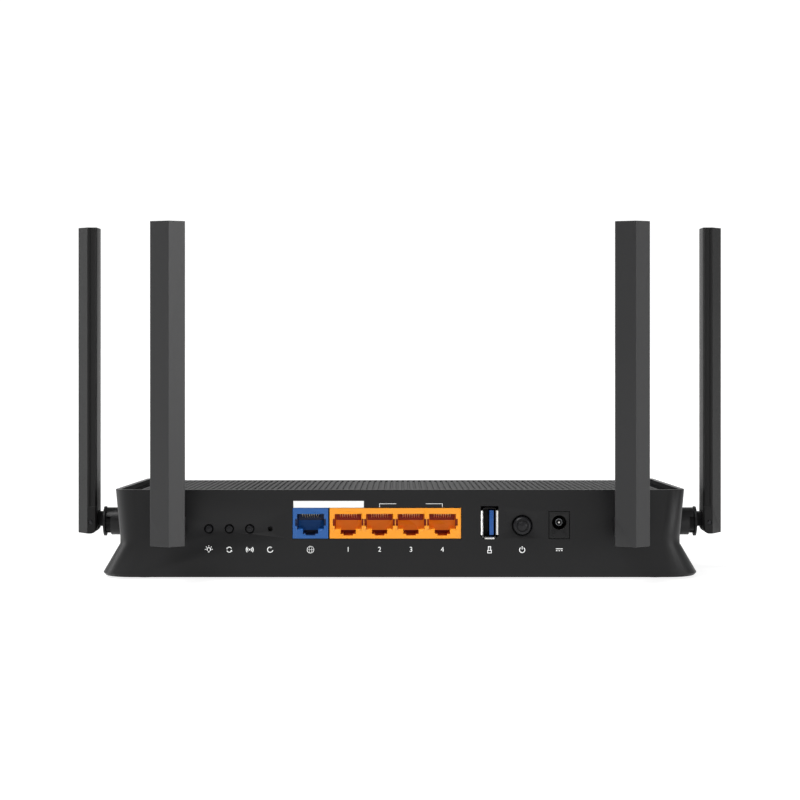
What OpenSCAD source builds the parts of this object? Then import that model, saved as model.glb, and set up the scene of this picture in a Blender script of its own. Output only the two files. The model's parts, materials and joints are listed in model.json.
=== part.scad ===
// Wireless router with four folding antennas, standing on rubber feet.
// -Y points out of the port panel, +X is to the right as seen from there, +Z is up.
// The origin is on the desk, under the middle of the router's bounding box.

/* [Case] */
// Width across the waist, the narrowest level of the side walls
case_w = 251; // [244:0.2:280]
// Depth of the top, from the port panel to the front edge
case_d = 137; // [134:0.5:165]
// Height of the port panel, from the bottom edge of the case to its top edge
case_h = 38.9; // [37.5:0.1:48]
// How much lower the front edge of the top is than the rear edge
top_drop = 4; // [1:0.1:5]
// Height of the waist above the bottom edge
waist_h = 17.5; // [16:0.1:19]
// Height at which the base starts to flare out
flare_h = 14.4; // [8:0.1:15.5]
// How far each side wall leans out between the waist and the top
side_lean = 2; // [0.5:0.1:3.5]
// How far the front wall leans out between the waist and the top
front_lean = 1.5; // [0:0.1:3]
// How far the base flares out past the waist at each side
side_flare = 8; // [3:0.1:10]
// How far the base flares out past the waist at the front
front_flare = 4; // [1:0.1:8]
// Height of the bevel round the bottom edge
edge_h = 1.2; // [0.4:0.1:2]
// Thickness of the case walls
wall = 2.2; // [1.8:0.1:2.6]
// Radius of the upright corners at the port panel
rear_corner_r = 9; // [3.5:0.5:10]
// How much wider the upright corners turn at the flared base
corner_flare = 4; // [0:0.5:6]
// Radius of the upright corners at the front
front_corner_r = 7.5; // [5:0.5:10]
// Gap between the desk and the bottom edge of the case
foot_gap = 1; // [0.5:0.1:4]

/* [Top cover and fascia] */
// Thickness of the top cover
cover_t = 2.2; // [1.8:0.1:3]
// Distance between two ribs of the top cover
rib_pitch = 2.67; // [2:0.01:4]
// Width of the top of one rib
rib_w = 1.35; // [0.8:0.05:1.6]
// Depth of the grooves between the ribs
groove_d = 0.7; // [0.3:0.05:1.2]
// Width of the smooth band beside the ribs
band_w = 5.2; // [4:0.1:12]
// Length of the fascia, from the front end of the ribs to the front edge of the top
fascia_l = 27; // [22:1:37]
// How far the front edge of the fascia lies below the side bands
fascia_drop = 4.5; // [2:0.1:7]
// Thickness of the fascia
fascia_t = 1.8; // [1.4:0.1:2.4]
// Number of indicator windows in the fascia
window_count = 8; // [4:1:9]
// Distance between two indicator windows
window_pitch = 12; // [8:0.5:14]
// Width of an indicator window
window_w = 4; // [2:0.5:5]
// Depth of an indicator window
window_d = 1.4; // [1:0.1:2]
// Distance from the front edge of the top to the indicator windows
window_inset = 18.5; // [16:0.5:22]

/* [Bottom cover and feet] */
// Thickness of the bottom cover
bottom_t = 2; // [1.6:0.1:2.6]
// How far the bottom cover sits above the bottom edge of the case
bottom_inset = 0.6; // [0.3:0.1:1.5]
// Number of vent slots in a row
vent_count = 19; // [9:2:21]
// Distance between two vent slots
vent_pitch = 5; // [4:0.1:5.5]
// Width of a vent slot
vent_w = 2; // [1:0.1:2.5]
// Length of a vent slot
vent_l = 15; // [8:0.5:17]
// Distance between the two wall-hook keyholes
hook_pitch = 140; // [130:1:160]
// Diameter of the round part of a keyhole
hook_d = 7.6; // [7:0.1:9]
// Width of the narrow part of a keyhole
hook_slot_w = 3.8; // [3:0.1:4.2]
// Diameter of a rubber foot
foot_d = 12; // [8:0.5:14]
// Distance from the side wall to the middle of a foot
foot_inset = 11; // [9:0.5:16]

/* [Board] */
// Height of the top of the board above the bottom edge of the case
board_h = 17.2; // [16.8:0.1:19]
// Thickness of the board
board_t = 1.6; // [1:0.1:2]
// Gap between the side walls and the board
board_gap = 12.6; // [11:0.1:20]
// Distance from the front wall to the front edge of the board
board_front_gap = 12; // [9:0.5:14]

/* [Network jacks] */
// Distance between two jacks of the block
jack_pitch = 13.97; // [13.6:0.01:14.4]
// Number of jacks in the block
jack_count = 4; // [2:1:4]
// Middle of the block, across the panel
block_x = -2.1; // [-4:0.1:0]
// Gap between the single jack and the block
block_gap = 0.6; // [0.4:0.1:2]
// Width of the single jack
single_w = 15.8; // [15:0.1:16]
// Height of the jacks above the board
jack_h = 13.5; // [13.2:0.1:16]
// Depth of the jacks
jack_d = 21; // [17:0.5:24]
// Width of a plug opening
plug_w = 11.9; // [11.7:0.1:12.2]
// Height of a plug opening
plug_h = 6.8; // [6.6:0.1:7.2]
// Depth of a plug opening
plug_d = 12.5; // [11:0.5:14]

/* [USB socket] */
// Middle of the socket, across the panel
usb_x = 39.8; // [38:0.1:41]
// Thickness of the metal shell, across the panel
usb_w = 5.9; // [5.7:0.1:6.4]
// Height of the metal shell
usb_h = 13.1; // [12.9:0.1:13.6]
// Depth of the socket
usb_d = 17; // [14:0.5:20]

/* [Power inlet and power button] */
// Middle of the power inlet, across the panel
inlet_x = 70.8; // [70:0.1:74]
// Width of the inlet's housing
inlet_w = 9; // [8.6:0.1:10]
// Height of the inlet's housing
inlet_h = 11.9; // [11:0.1:13]
// Depth of the inlet's housing
inlet_d = 14; // [12:0.5:16]
// Diameter of the inlet's hole
inlet_hole_d = 6.4; // [5.8:0.1:6.8]
// Diameter of the inlet's centre pin
inlet_pin_d = 2; // [1.6:0.1:2.6]
// Middle of the power button, across the panel
power_x = 54.3; // [53:0.1:56]
// Diameter of the power button
power_d = 8; // [7:0.1:9]
// Travel of the power button
power_travel = 2.5; // [1:0.1:2.8]

/* [Small buttons] */
// Middle of the first small button, across the panel
button_x = -85; // [-86:0.1:-83]
// Distance between two small buttons, and from the last to the reset hole
button_pitch = 9.1; // [8.5:0.1:9.6]
// Height of the small buttons above the board
button_h = 4.3; // [3.8:0.1:6]
// Diameter of a small button
button_d = 3; // [2.4:0.1:3.6]
// Travel of a small button
button_travel = 0.5; // [0.2:0.05:0.6]
// Diameter of the reset hole
reset_hole_d = 2.2; // [1.6:0.1:2.6]

/* [Antennas] */
// Distance of each rear antenna from the middle of the panel
rear_antenna_x = 101.4; // [101.2:0.1:108]
// Distance from the port panel to the side antennas
side_antenna_y = 48; // [46:0.5:80]
// Height of the antenna stems above the bottom edge of the case
stem_h = 20.9; // [20:0.1:23]
// Diameter of the collar round the stem
collar_d = 12.7; // [12:0.1:13.4]
// How far the collar stands out of the wall
collar_out = 10.4; // [8:0.1:14]
// Diameter of the stem
stem_d = 9.8; // [8.8:0.1:10.2]
// Diameter of the knuckle's round plate
plate_d = 13.7; // [13:0.1:15]
// Thickness of the knuckle's round plate
plate_t = 1; // [0.8:0.1:2]
// Gap between the collar and the knuckle's round plate
plate_gap = 0.5; // [0.4:0.1:1.5]
// Distance from the round plate to the hinge pin
pin_out = 5.6; // [5.6:0.1:7]
// Diameter of the hinge pin
pin_d = 2.2; // [1.8:0.1:2.4]
// Width of the knuckle's tongue
tongue_w = 6.4; // [5:0.1:7]
// Length of a blade above its hinge pin
blade_up = 136.5; // [100:0.5:180]
// Length of a blade below its hinge pin
blade_down = 5.3; // [4.6:0.1:5.3]
// Width of a blade
blade_w = 15.2; // [14:0.1:18]
// Distance from a blade's back to its hinge pin
blade_back = 2.9; // [2.7:0.1:3.3]
// Distance from a blade's hinge pin to its widest level
blade_edge = 1.4; // [1.2:0.1:2]
// Height of the ridge in front of the widest level
ridge_h = 5.1; // [4.6:0.1:7]
// How far the ridge lies off the middle of the blade
ridge_off = 1; // [0:0.1:2]
// Wall thickness of the blade shells
blade_wall = 1.4; // [1:0.1:1.6]

/* [Clearances] */
// Gap round parts that sit in an opening
fit_gap = 0.2; // [0.1:0.05:0.3]
// Radial gap of a shaft in its hole
run_gap = 0.05; // [0.02:0.01:0.08]
// Gap between faces of pieces that move past each other
move_gap = 0.3; // [0.2:0.05:0.4]

/* [Hidden] */
$fn = 64;
case_color = "#2b2b2c";
dark_color = "#1c1c1d";
metal_color = "#b9bcc0";
corner_steps = 6;
overshoot = 1;

// Levels of the case
waist_hw = case_w / 2;
top_hw = waist_hw + side_lean;
base_hw = waist_hw + side_flare;
waist_front = case_d - front_lean;
base_front = waist_front + front_flare;
tilt = atan(top_drop / case_d);

// Antenna distances, measured outwards from the wall
plate_face = collar_out + plate_gap + plate_t;
pin_at = plate_face + pin_out;
edge_at = pin_at + blade_edge;
back_at = pin_at - blade_back;
antenna_reach = edge_at + ridge_h;

// Places on the case
rear_y = (antenna_reach - base_front) / 2;
plate_z = foot_gap + bottom_inset + bottom_t;
board_z = foot_gap + board_h;
stem_z = foot_gap + stem_h;
front_top_z = foot_gap + case_h - top_drop;

// Top cover and fascia, measured down and along the sloping top
ribs_end = case_d - fascia_l;
cover_hw = top_hw - wall - fit_gap;
ribs_hw = cover_hw - band_w;
groove_count = floor(ribs_hw / rib_pitch + 0.5);
groove_w = rib_pitch - rib_w;
groove_floor_w = groove_w * 0.6;
ledge_w = 1.8;
ledge_h = 2;
fascia_hw = ribs_hw - fit_gap;
nose_v = case_d - front_lean * (fascia_drop + fascia_t) / (case_h - top_drop - waist_h);
flat_v = case_d - wall - 1.2;
arm_end = case_d - wall - fit_gap - front_lean / 2;
skirt_t = 1.4;
window_v = case_d - window_inset;
guide_bar_h = 1.5;
lamp_w = 1.6;
lamp_d = 0.8;
lamp_h = 0.7;
lamp_gap = 0.5;

// Board
board_hw = waist_hw - wall - board_gap;
board_front = waist_front - wall - board_front_gap;
board_rear = wall + 1.2;
board_tongue_end = 14;
board_tongue_hw = rear_antenna_x - plate_d / 2 - 3;
standoff_d = 5.5;
tongue_standoff_in = 1.5;
side_standoff_in = 6;
inner_standoff_in = 50;
standoff_rear = 18;
standoff_front = 12;
standoffs = [for (side = [-1, 1]) each [[side * (board_tongue_hw - tongue_standoff_in), standoff_rear],
    for (in = [side_standoff_in, inner_standoff_in]) [side * (board_hw - in), board_front - standoff_front]]];
board_screw_d = 2.4;
board_screw_head_d = 4.6;
board_screw_head_h = 1.5;
board_screw_l = 8;

// Bottom cover
foot_recess = 0.5;
foot_end = 14;
feet = [for (side = [-1, 1], y = [foot_end, case_d - foot_end])
    [side * (waist_hw - foot_inset), rear_y + y]];
vent_gap = 4;
hook_y = 75;
hook_slot_l = 7;

// Case screws
post_d = 7;
post_h = 21;
post_in = 4.6;
post_x = waist_hw - wall - post_in;
post_rear = 24;
post_front = 25;
post_ys = [post_rear, case_d - post_front];
post_web = 1.8;
case_screw_d = 2.9;
case_screw_head_d = 5.6;
case_screw_head_h = 1;
case_screw_l = 13;

// Network jacks, with heights above the board
jack_proud = 0.2;
jack_end_wall = 1.25;
block_w = jack_count * jack_pitch + 2 * jack_end_wall;
single_x = block_x - block_w / 2 - block_gap - single_w / 2;
plug_z = 4.1;
keyway_w = 6.8;
keyway_drop = 2;
latch_w = 4.2;
latch_drop = 0.7;
side_notch_w = 13.6;
side_notch_h = 3;
side_notch_z = 1.6;
side_notch_d = 3;
wire_pitch = 1.02;
wire_w = 0.45;
wire_t = 0.35;
wire_drop = 2.2;
wire_count = 8;
wire_start = 2;
wire_root = 1.2;
wire_tip = 2.4;
wire_tip_w = 0.2;

// USB socket
sheet_t = 0.4;
usb_stand = 0.45;
usb_z = board_z + usb_stand + usb_h / 2;
usb_lip = 0.9;
usb_lip_l = 10.7;
usb_lip_t = 0.6;
usb_end_lip = 0.75;
usb_end_lip_in = 0.4;
usb_leg_l = 1;
usb_hole_w = usb_w + 2 * usb_lip + fit_gap;
usb_hole_h = usb_h + 2 * usb_end_lip + fit_gap;
usb_chamfer = 1.6;
tongue_t = 2;
tongue_x = 0.84;
tongue_end = 0.6;
tongue_front = 1;
insulator_front = 9.5;
insulator_back = 0.5;

// Power inlet and power button
inlet_hole_z = 7.1;
inlet_hole_l = 10;
power_z = board_z + 5.8;
power_out = power_travel + 0.2;
power_back = 8;
power_flange_d = power_d + 1.4;
shank_d = 3.6;
shank_end = 15.5;
power_flange_t = 1;
cap_ring_share = 0.7;
cap_ring_w = 0.3;
cap_ring_deep = 0.3;
switch_gap = 1.5;
switch_front = power_back + power_travel + switch_gap;
switch_d = 12;
switch_w = 8.6;
switch_h = 11;
shank_room = 0.5;

// Small buttons
button_z = board_z + button_h;
button_out = button_travel + 0.2;
button_back = 4;
flange_t = 0.7;
flange_lip = 0.7;
key_gap = 0.1;
key_front = button_back + button_travel + key_gap;
key_cap_t = 0.8;
key_cap_lip = 0.3;
key_sink = 0.5;
key_l = 3.6;
key_w = 6;
key_h = 7;
reset_x = button_x + 3 * button_pitch;
reset_d = 1.7;
reset_front = 3.6;
reset_back = 8;
reset_body = 6;
reset_body_l = 4;
countersink = 0.5;

// Antennas
collar_in = wall + 1;
collar_flange_d = collar_d + 2.5;
collar_flange_t = 1.4;
pad_d = collar_flange_d + 2;
notch_l = 1.9;
notch_z = 2.4;
stem_in = collar_in + collar_flange_t + move_gap;
snap_t = 1.5;
snap_d = stem_d + 1;
snap_slit_l = 2.5;
snap_slit_w = 1;
lead_bore_d = 4.2;
stop_w = 3.6;
stop_r = 5.5;
tongue_top = 4.4;
tongue_bottom = 2.1;
tongue_bevel = 1;
eye_r = pin_d / 2 + 1.1;
slot_gap = 0.5;
ear_top = 7.2;
part_at = pin_at + 0.3;
pin_recess = 0.4;
pin_grip = 0.02;
boss_hw = 5;
boss_out = 0.4;
back_shell_hw = blade_w / 2 - 0.3;
back_chamfer = 0.7;
element_t = 0.8;
element_hw = 5;
side_wall_hw = side_hw(stem_h);
antenna_places = [[[-rear_antenna_x, rear_y, stem_z], 0], [[rear_antenna_x, rear_y, stem_z], 0],
    [[-side_wall_hw, rear_y + side_antenna_y, stem_z], -90],
    [[side_wall_hw, rear_y + side_antenna_y, stem_z], 90]];

// Antenna leads
lead_d = 1.2;
lead_sides = 8;
lead_steps = 6;
lead_end = 7;
socket_d = 2.6;
socket_h = 1.3;
lead_z = board_z + 0.75;
lead_dip = 1.5;
lead_runs = [20, 9, -lead_end];
rear_lead = [[66, 52], [74, 49], [90, 38]];
side_lead = [[66, 76], [76, 74], [92, 60]];
rear_route = concat(lead_start(rear_lead),
    [for (run = lead_runs) [rear_antenna_x, rear_y + run, stem_z]]);
side_route = concat(lead_start(side_lead),
    [for (run = lead_runs) [side_wall_hw - run, rear_y + side_antenna_y, stem_z]]);
lead_routes = [for (route = [rear_route, side_route], side = [-1, 1])
    [for (p = route) [side * p[0], p[1], p[2]]]];

// Parts on the board, as places across the board and behind the port panel
chip_place = [-4, 66];
chip_w = 17;
chip_h = 1.2;
pad_h = 0.5;
sink_w = 36;
sink_h = 8;
sink_base_h = 2;
fin_count = 10;
fin_t = 1.2;
shield_places = [[-46, 64], [40, 64]];
shield_w = 32;
shield_l = 26;
shield_h = 2.6;
small_chip_h = 1;
small_chip_places = [[-28, 38, 10, 8], [14, 38, 12, 10], [-4, 96, 8, 6], [28, 94, 6, 5], [-40, 94, 10, 9]];
capacitor_places = [[62, 34], [71, 30], [80, 28]];
capacitor_d = 6.3;
capacitor_h = 8.5;
capacitor_neck = 0.3;
capacitor_neck_z = 1.2;
capacitor_neck_h = 0.6;
magnetics_w = 11;
magnetics_l = 7;
magnetics_h = 5.5;
magnetics_gap = 3.5;

// The three inner points of an antenna lead's route, from its places on the board
function lead_start(p) = [[p[0][0], rear_y + p[0][1], lead_z], [p[1][0], rear_y + p[1][1], lead_z],
    [p[2][0], rear_y + p[2][1], stem_z - lead_dip]];
// Half width of the side wall at a height above the bottom edge
function side_hw(h) = waist_hw + side_lean * (h - waist_h) / (case_h - waist_h);
// Height of the sloping top at a place along Y
function top_z(y) = foot_gap + case_h - (y - rear_y) * top_drop / case_d;
// Level of the fascia below the sloping top, at a distance v from the rear edge
function fascia_w(v) = -fascia_drop * (v - ribs_end) / fascia_l;

// A quarter circle of points round a corner
function corner(x, y, r, start) = [for (k = [0:corner_steps]) let (a = start + 90 * k / corner_steps)
    [x + r * cos(a), y + r * sin(a)]];
// Outline of the case at one level, drawn in by inset, with its corners widened by flare
function outline(hw, front, inset, flare = 0) =
    let (x = hw - inset, back = rear_y + inset, front_y = rear_y + front - inset,
        rb = rear_corner_r + flare - inset, rf = front_corner_r + flare - inset)
    concat(corner(x - rf, front_y - rf, rf, 0), corner(rf - x, front_y - rf, rf, 90),
        corner(rb - x, back + rb, rb, 180), corner(x - rb, back + rb, rb, 270));
function level(h, hw, front, inset, flare = 0) =
    [for (p = outline(hw, front, inset, flare)) [p[0], p[1], foot_gap + h]];
function wall_levels(inset) = [level(0, base_hw - edge_h, base_front - edge_h, inset, corner_flare),
    level(edge_h, base_hw, base_front, inset, corner_flare),
    level(flare_h, waist_hw, waist_front, inset), level(waist_h, waist_hw, waist_front, inset)];
function top_level(rise, inset) =
    [for (p = outline(top_hw, case_d, inset)) [p[0], p[1], top_z(p[1]) + rise]];

// A closed solid through loops of points, from the lowest to the highest
module loft(loops) {
    n = len(loops[0]);
    last = (len(loops) - 1) * n;
    walls = [for (k = [0:len(loops) - 2], i = [0:n - 1])
        let (a = k * n + i, b = k * n + (i + 1) % n) each [[a, a + n, b + n], [a, b + n, b]]];
    polyhedron([for (loop = loops) each loop],
        concat([[for (i = [0:n - 1]) i]], walls, [[for (i = [n - 1:-1:0]) last + i]]));
}

// A row of copies, counted from the middle
module row(count, pitch) for (k = [0:count - 1]) translate([(k - (count - 1) / 2) * pitch, 0, 0]) children();
// Both sides of the router
module both_sides() for (side = [-1, 1]) scale([side, 1, 1]) children();
// On the sloping top: X across, Y down the slope from the rear edge, Z out of the top
module on_top() translate([0, rear_y, foot_gap + case_h]) rotate([-tilt, 0, 0]) children();
// A profile in Y and Z, as wide as w, round the middle of X
module across(w) translate([-w / 2, 0, 0]) rotate([90, 0, 90]) linear_extrude(w) children();
// A cylinder that runs from one distance behind the port panel to another
module rod(x, z, d, from, to)
    translate([x, rear_y + from, z]) rotate([-90, 0, 0]) cylinder(d = d, h = to - from);
// A cone that opens a panel hole at its mouth
module mouth(x, z, d) translate([x, rear_y - overshoot, z]) rotate([-90, 0, 0])
    cylinder(d1 = d + 2 * (countersink + overshoot), d2 = d, h = countersink + overshoot);
// A box behind the port panel: middle across, near and far distance, low and high level
module box(x, w, from, to, low, high)
    translate([x - w / 2, rear_y + from, low]) cube([w, to - from, high - low]);
// The same, round a middle level
module box_round(x, w, from, to, z, h) box(x, w, from, to, z - h / 2, z + h / 2);

module main_case() {
    color(case_color) difference() {
        union() {
            difference() {
                loft(concat(wall_levels(0), [top_level(0, 0)]));
                loft(concat([level(-overshoot, base_hw - edge_h, base_front - edge_h, wall, corner_flare)],
                    wall_levels(wall), [top_level(-cover_t, wall), top_level(overshoot, wall)]));
            }
            cover_ledges();
            both_sides() for (y = post_ys) screw_post(y);
            for (k = [0:3]) place(k) rod_out(pad_d, -collar_in, -wall / 4);
        }
        fascia_cut();
        port_holes();
        both_sides() for (y = post_ys) translate([post_x, rear_y + y, plate_z - overshoot])
            cylinder(d = case_screw_d + 2 * run_gap, h = case_screw_l + overshoot + 1);
        for (k = [0:3]) place(k) rod_out(collar_d + 2 * run_gap, -collar_in - overshoot, wall + overshoot);
    }
}

// Bars inside the walls that carry the top cover
module cover_ledges() {
    low = -cover_t - ledge_h;
    on_top() {
        both_sides() translate([top_hw - wall - ledge_w, rear_corner_r, low])
            cube([ledge_w + 0.8, case_d - rear_corner_r - front_corner_r, ledge_h]);
        translate([rear_corner_r - top_hw, wall - 0.8, low])
            cube([2 * (top_hw - rear_corner_r), ledge_w + 0.8, ledge_h]);
    }
}

// A post for a case screw, with the web that ties it to the side wall
module screw_post(y) translate([post_x, rear_y + y, plate_z]) {
    cylinder(d = post_d, h = post_h);
    translate([0, -post_web / 2, 0]) cube([waist_hw - wall / 2 - post_x, post_web, post_h]);
}

// The front wall is cut down where the fascia lies on it
module fascia_cut() on_top() translate([-ribs_hw, case_d - wall - 4, -fascia_drop - fascia_t])
    cube([2 * ribs_hw, wall + 6, fascia_drop + fascia_t + overshoot]);

module port_holes() {
    near = -overshoot;
    far = wall + overshoot;
    low = board_z - fit_gap;
    jacks_left = single_x - single_w / 2 - fit_gap;
    jacks_right = block_x + block_w / 2 + fit_gap;
    box((jacks_left + jacks_right) / 2, jacks_right - jacks_left, near, far, low, board_z + jack_h + fit_gap);
    box(inlet_x, inlet_w + 2 * fit_gap, near, far, low, board_z + inlet_h + fit_gap);
    translate([usb_x, rear_y + far, usb_z]) rotate([90, 0, 0]) linear_extrude(far - near) usb_hole_outline();
    rod(power_x, power_z, power_d + 2 * fit_gap, near, far);
    mouth(power_x, power_z, power_d + 2 * fit_gap);
    for (k = [0:2]) {
        rod(button_x + k * button_pitch, button_z, button_d + 2 * fit_gap, near, far);
        mouth(button_x + k * button_pitch, button_z, button_d + 2 * fit_gap);
    }
    rod(reset_x, button_z, reset_hole_d, near, far);
}

// The hole for the USB socket, with its two lower corners cut off
module usb_hole_outline() {
    x = usb_hole_w / 2;
    z = usb_hole_h / 2;
    polygon([[x - usb_chamfer, -z], [x, -z + usb_chamfer], [x, z], [-x, z], [-x, -z + usb_chamfer],
        [-x + usb_chamfer, -z]]);
}

module top_cover() {
    color(case_color) union() {
        on_top() intersection() {
            translate([0, arm_end, 0]) rotate([90, 0, 0])
                linear_extrude(arm_end - wall - fit_gap) cover_section();
            translate([0, 0, -cover_t - overshoot])
                linear_extrude(cover_t + 2 * overshoot) cover_outline();
        }
        on_top() both_sides() {
            translate([ribs_hw + skirt_t / 2, 0, 0]) across(skirt_t) polygon([[ribs_end, -cover_t / 2],
                [arm_end, -cover_t / 2], [arm_end, fascia_w(arm_end) - fascia_t - ledge_h],
                [ribs_end, fascia_w(ribs_end) - fascia_t - ledge_h]]);
            translate([ribs_hw, 0, 0]) across(2 * ledge_w) polygon([[ribs_end, fascia_w(ribs_end) - fascia_t],
                [flat_v - fit_gap, fascia_w(flat_v - fit_gap) - fascia_t],
                [flat_v - fit_gap, fascia_w(flat_v) - fascia_t - ledge_h],
                [ribs_end, fascia_w(ribs_end) - fascia_t - ledge_h]]);
        }
    }
}

// The cover's section: smooth bands at the sides, grooves between the ribs
module cover_section() {
    grooves = [for (k = [groove_count:-1:1 - groove_count]) let (x = (k - 0.5) * rib_pitch)
        each [[x + groove_w / 2, 0], [x + groove_floor_w / 2, -groove_d],
            [x - groove_floor_w / 2, -groove_d], [x - groove_w / 2, 0]]];
    polygon(concat([[cover_hw, -cover_t], [cover_hw, 0]], grooves, [[-cover_hw, 0], [-cover_hw, -cover_t]]));
}

// The cover's outline, with the opening for the fascia between its two arms
module cover_outline() difference() {
    translate([0, -rear_y]) polygon(outline(top_hw, arm_end + wall + fit_gap, wall + fit_gap));
    translate([-ribs_hw, ribs_end]) square([2 * ribs_hw, case_d]);
}

module front_fascia() {
    v0 = ribs_end + fit_gap;
    low = -fascia_drop - fascia_t;
    bevel = 0.8;
    color(dark_color) on_top() difference() {
        across(2 * fascia_hw) polygon([[v0, fascia_w(v0)], [nose_v - bevel, fascia_w(nose_v - bevel)],
            [nose_v, fascia_w(nose_v) - bevel], [nose_v, low], [flat_v, low],
            [flat_v, fascia_w(flat_v) - fascia_t], [v0, fascia_w(v0) - fascia_t]]);
        row(window_count, window_pitch) translate([-window_w / 2, window_v - window_d / 2, low])
            cube([window_w, window_d, fascia_drop + fascia_t + overshoot]);
    }
}

module light_guide() {
    gap = fit_gap / 2;
    bar_top = fascia_w(window_v + window_d) - fascia_t - fit_gap;
    bar_w = (window_count - 1) * window_pitch + window_w;
    top = fascia_w(window_v + window_d / 2);
    bottom = board_z + lamp_h + lamp_gap - top_z(rear_y + window_v);
    color("#dfe6ea") on_top() union() {
        translate([-bar_w / 2, window_v - window_d, bar_top - guide_bar_h])
            cube([bar_w, 2 * window_d, guide_bar_h]);
        row(window_count, window_pitch) translate([gap - window_w / 2, gap - window_d / 2 + window_v, bottom])
            cube([window_w - 2 * gap, window_d - 2 * gap, top - bottom]);
    }
}

module indicator_lights() {
    lean = (top_z(rear_y + window_v) - board_z) * sin(tilt);
    color("#e9e6c8") translate([0, rear_y + window_v - lean, board_z]) row(window_count, window_pitch)
        translate([-lamp_w / 2, -lamp_d / 2, 0]) cube([lamp_w, lamp_d, lamp_h]);
}

module bottom_cover() {
    color(case_color) difference() {
        union() {
            translate([0, 0, plate_z - bottom_t]) linear_extrude(bottom_t)
                polygon(outline(base_hw - edge_h, base_front - edge_h, wall + fit_gap, corner_flare));
            for (p = standoffs) translate([p[0], rear_y + p[1], plate_z - bottom_t / 2])
                cylinder(d = standoff_d, h = board_z - board_t - plate_z + bottom_t / 2);
        }
        for (p = standoffs) translate([p[0], rear_y + p[1], plate_z])
            cylinder(d = board_screw_d + 2 * run_gap, h = board_h);
        both_sides() for (y = post_ys) translate([post_x, rear_y + y, plate_z - bottom_t - overshoot]) {
            cylinder(d = case_screw_d + 2 * fit_gap, h = bottom_t + 2 * overshoot);
            cylinder(d = case_screw_head_d + 2 * fit_gap, h = case_screw_head_h + 0.1 + overshoot);
        }
        for (p = feet) translate([p[0], p[1], plate_z - bottom_t - overshoot])
            cylinder(d = foot_d + 2 * run_gap, h = foot_recess + overshoot);
        for (k = [-1:1]) translate([0, rear_y + case_d / 2 + k * (vent_l + vent_gap), plate_z])
            row(vent_count, vent_pitch) cube([vent_w, vent_l, 3 * bottom_t], center = true);
        row(2, hook_pitch) keyhole();
    }
}

// A keyhole for a wall hook: a round hole for the hook's head, with a slot for its neck
module keyhole() translate([0, rear_y + hook_y, plate_z - bottom_t - overshoot]) {
    cylinder(d = hook_d, h = bottom_t + 2 * overshoot);
    translate([-hook_slot_w / 2, -hook_slot_l, 0]) cube([hook_slot_w, hook_slot_l, bottom_t + 2 * overshoot]);
    translate([0, -hook_slot_l, 0]) cylinder(d = hook_slot_w, h = bottom_t + 2 * overshoot);
}

module rubber_feet() {
    color("#161617") for (p = feet) translate([p[0], p[1], 0])
        cylinder(d = foot_d, h = plate_z - bottom_t + foot_recess);
}

module case_screws() {
    color(metal_color) both_sides() for (y = post_ys)
        translate([post_x, rear_y + y, plate_z - bottom_t + 0.1])
            screw(case_screw_d, case_screw_l, case_screw_head_d, case_screw_head_h);
}

// A screw that points up, with a cross in its head
module screw(d, l, head_d, head_h) difference() {
    union() {
        cylinder(d = head_d, h = head_h);
        cylinder(d = d, h = l);
    }
    for (a = [0, 90]) rotate(a) translate([-head_d / 4, -0.3, -overshoot])
        cube([head_d / 2, 0.6, overshoot + head_h / 2]);
}

module main_board() {
    color("#1f5c3a") difference() {
        translate([0, rear_y, board_z - board_t]) linear_extrude(board_t) polygon([
            [-board_tongue_hw, board_rear], [board_tongue_hw, board_rear],
            [board_tongue_hw, board_tongue_end], [board_hw, board_tongue_end], [board_hw, board_front],
            [-board_hw, board_front], [-board_hw, board_tongue_end], [-board_tongue_hw, board_tongue_end]]);
        for (p = standoffs) translate([p[0], rear_y + p[1], board_z - board_t - overshoot])
            cylinder(d = board_screw_d + 2 * fit_gap, h = board_t + 2 * overshoot);
    }
}

module board_screws() {
    color(metal_color) for (p = standoffs) translate([p[0], rear_y + p[1], board_z + board_screw_head_h])
        rotate([180, 0, 0]) screw(board_screw_d, board_screw_l, board_screw_head_d, board_screw_head_h);
}

// A row of network jacks with open plug holes
module jack_row(x, w, count) difference() {
    box(x, w, -jack_proud, jack_d, board_z, board_z + jack_h);
    translate([x, rear_y - jack_proud - overshoot, board_z + plug_z]) row(count, jack_pitch) {
        translate([-plug_w / 2, 0, 0]) cube([plug_w, plug_d + overshoot, plug_h]);
        translate([-keyway_w / 2, 0, -keyway_drop])
            cube([keyway_w, plug_d + overshoot, keyway_drop + plug_h / 2]);
        translate([-latch_w / 2, 0, -keyway_drop - latch_drop]) cube([latch_w, plug_d + overshoot, plug_h]);
        translate([-side_notch_w / 2, 0, side_notch_z])
            cube([side_notch_w, side_notch_d + overshoot, side_notch_h]);
    }
}

// The spring wires of a row of jacks
module wires(x, count) {
    low = plug_h - wire_t;
    end = plug_d - jack_proud;
    tip = end - wire_tip;
    translate([x, rear_y, board_z + plug_z]) row(count, jack_pitch) row(wire_count, wire_pitch) across(wire_w)
        polygon([[wire_start, plug_h], [end, plug_h], [end, low], [wire_start + wire_root, low],
            [tip, plug_h - wire_drop], [tip - wire_tip_w, low - wire_drop], [wire_start, low]]);
}

module wan_jack() color("#2b6fb5") jack_row(single_x, single_w, 1);
module wan_contacts() color("#c9a24a") wires(single_x, 1);
module lan_jacks() color("#f28c28") jack_row(block_x, block_w, jack_count);
module lan_contacts() color("#c9a24a") wires(block_x, jack_count);

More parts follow.
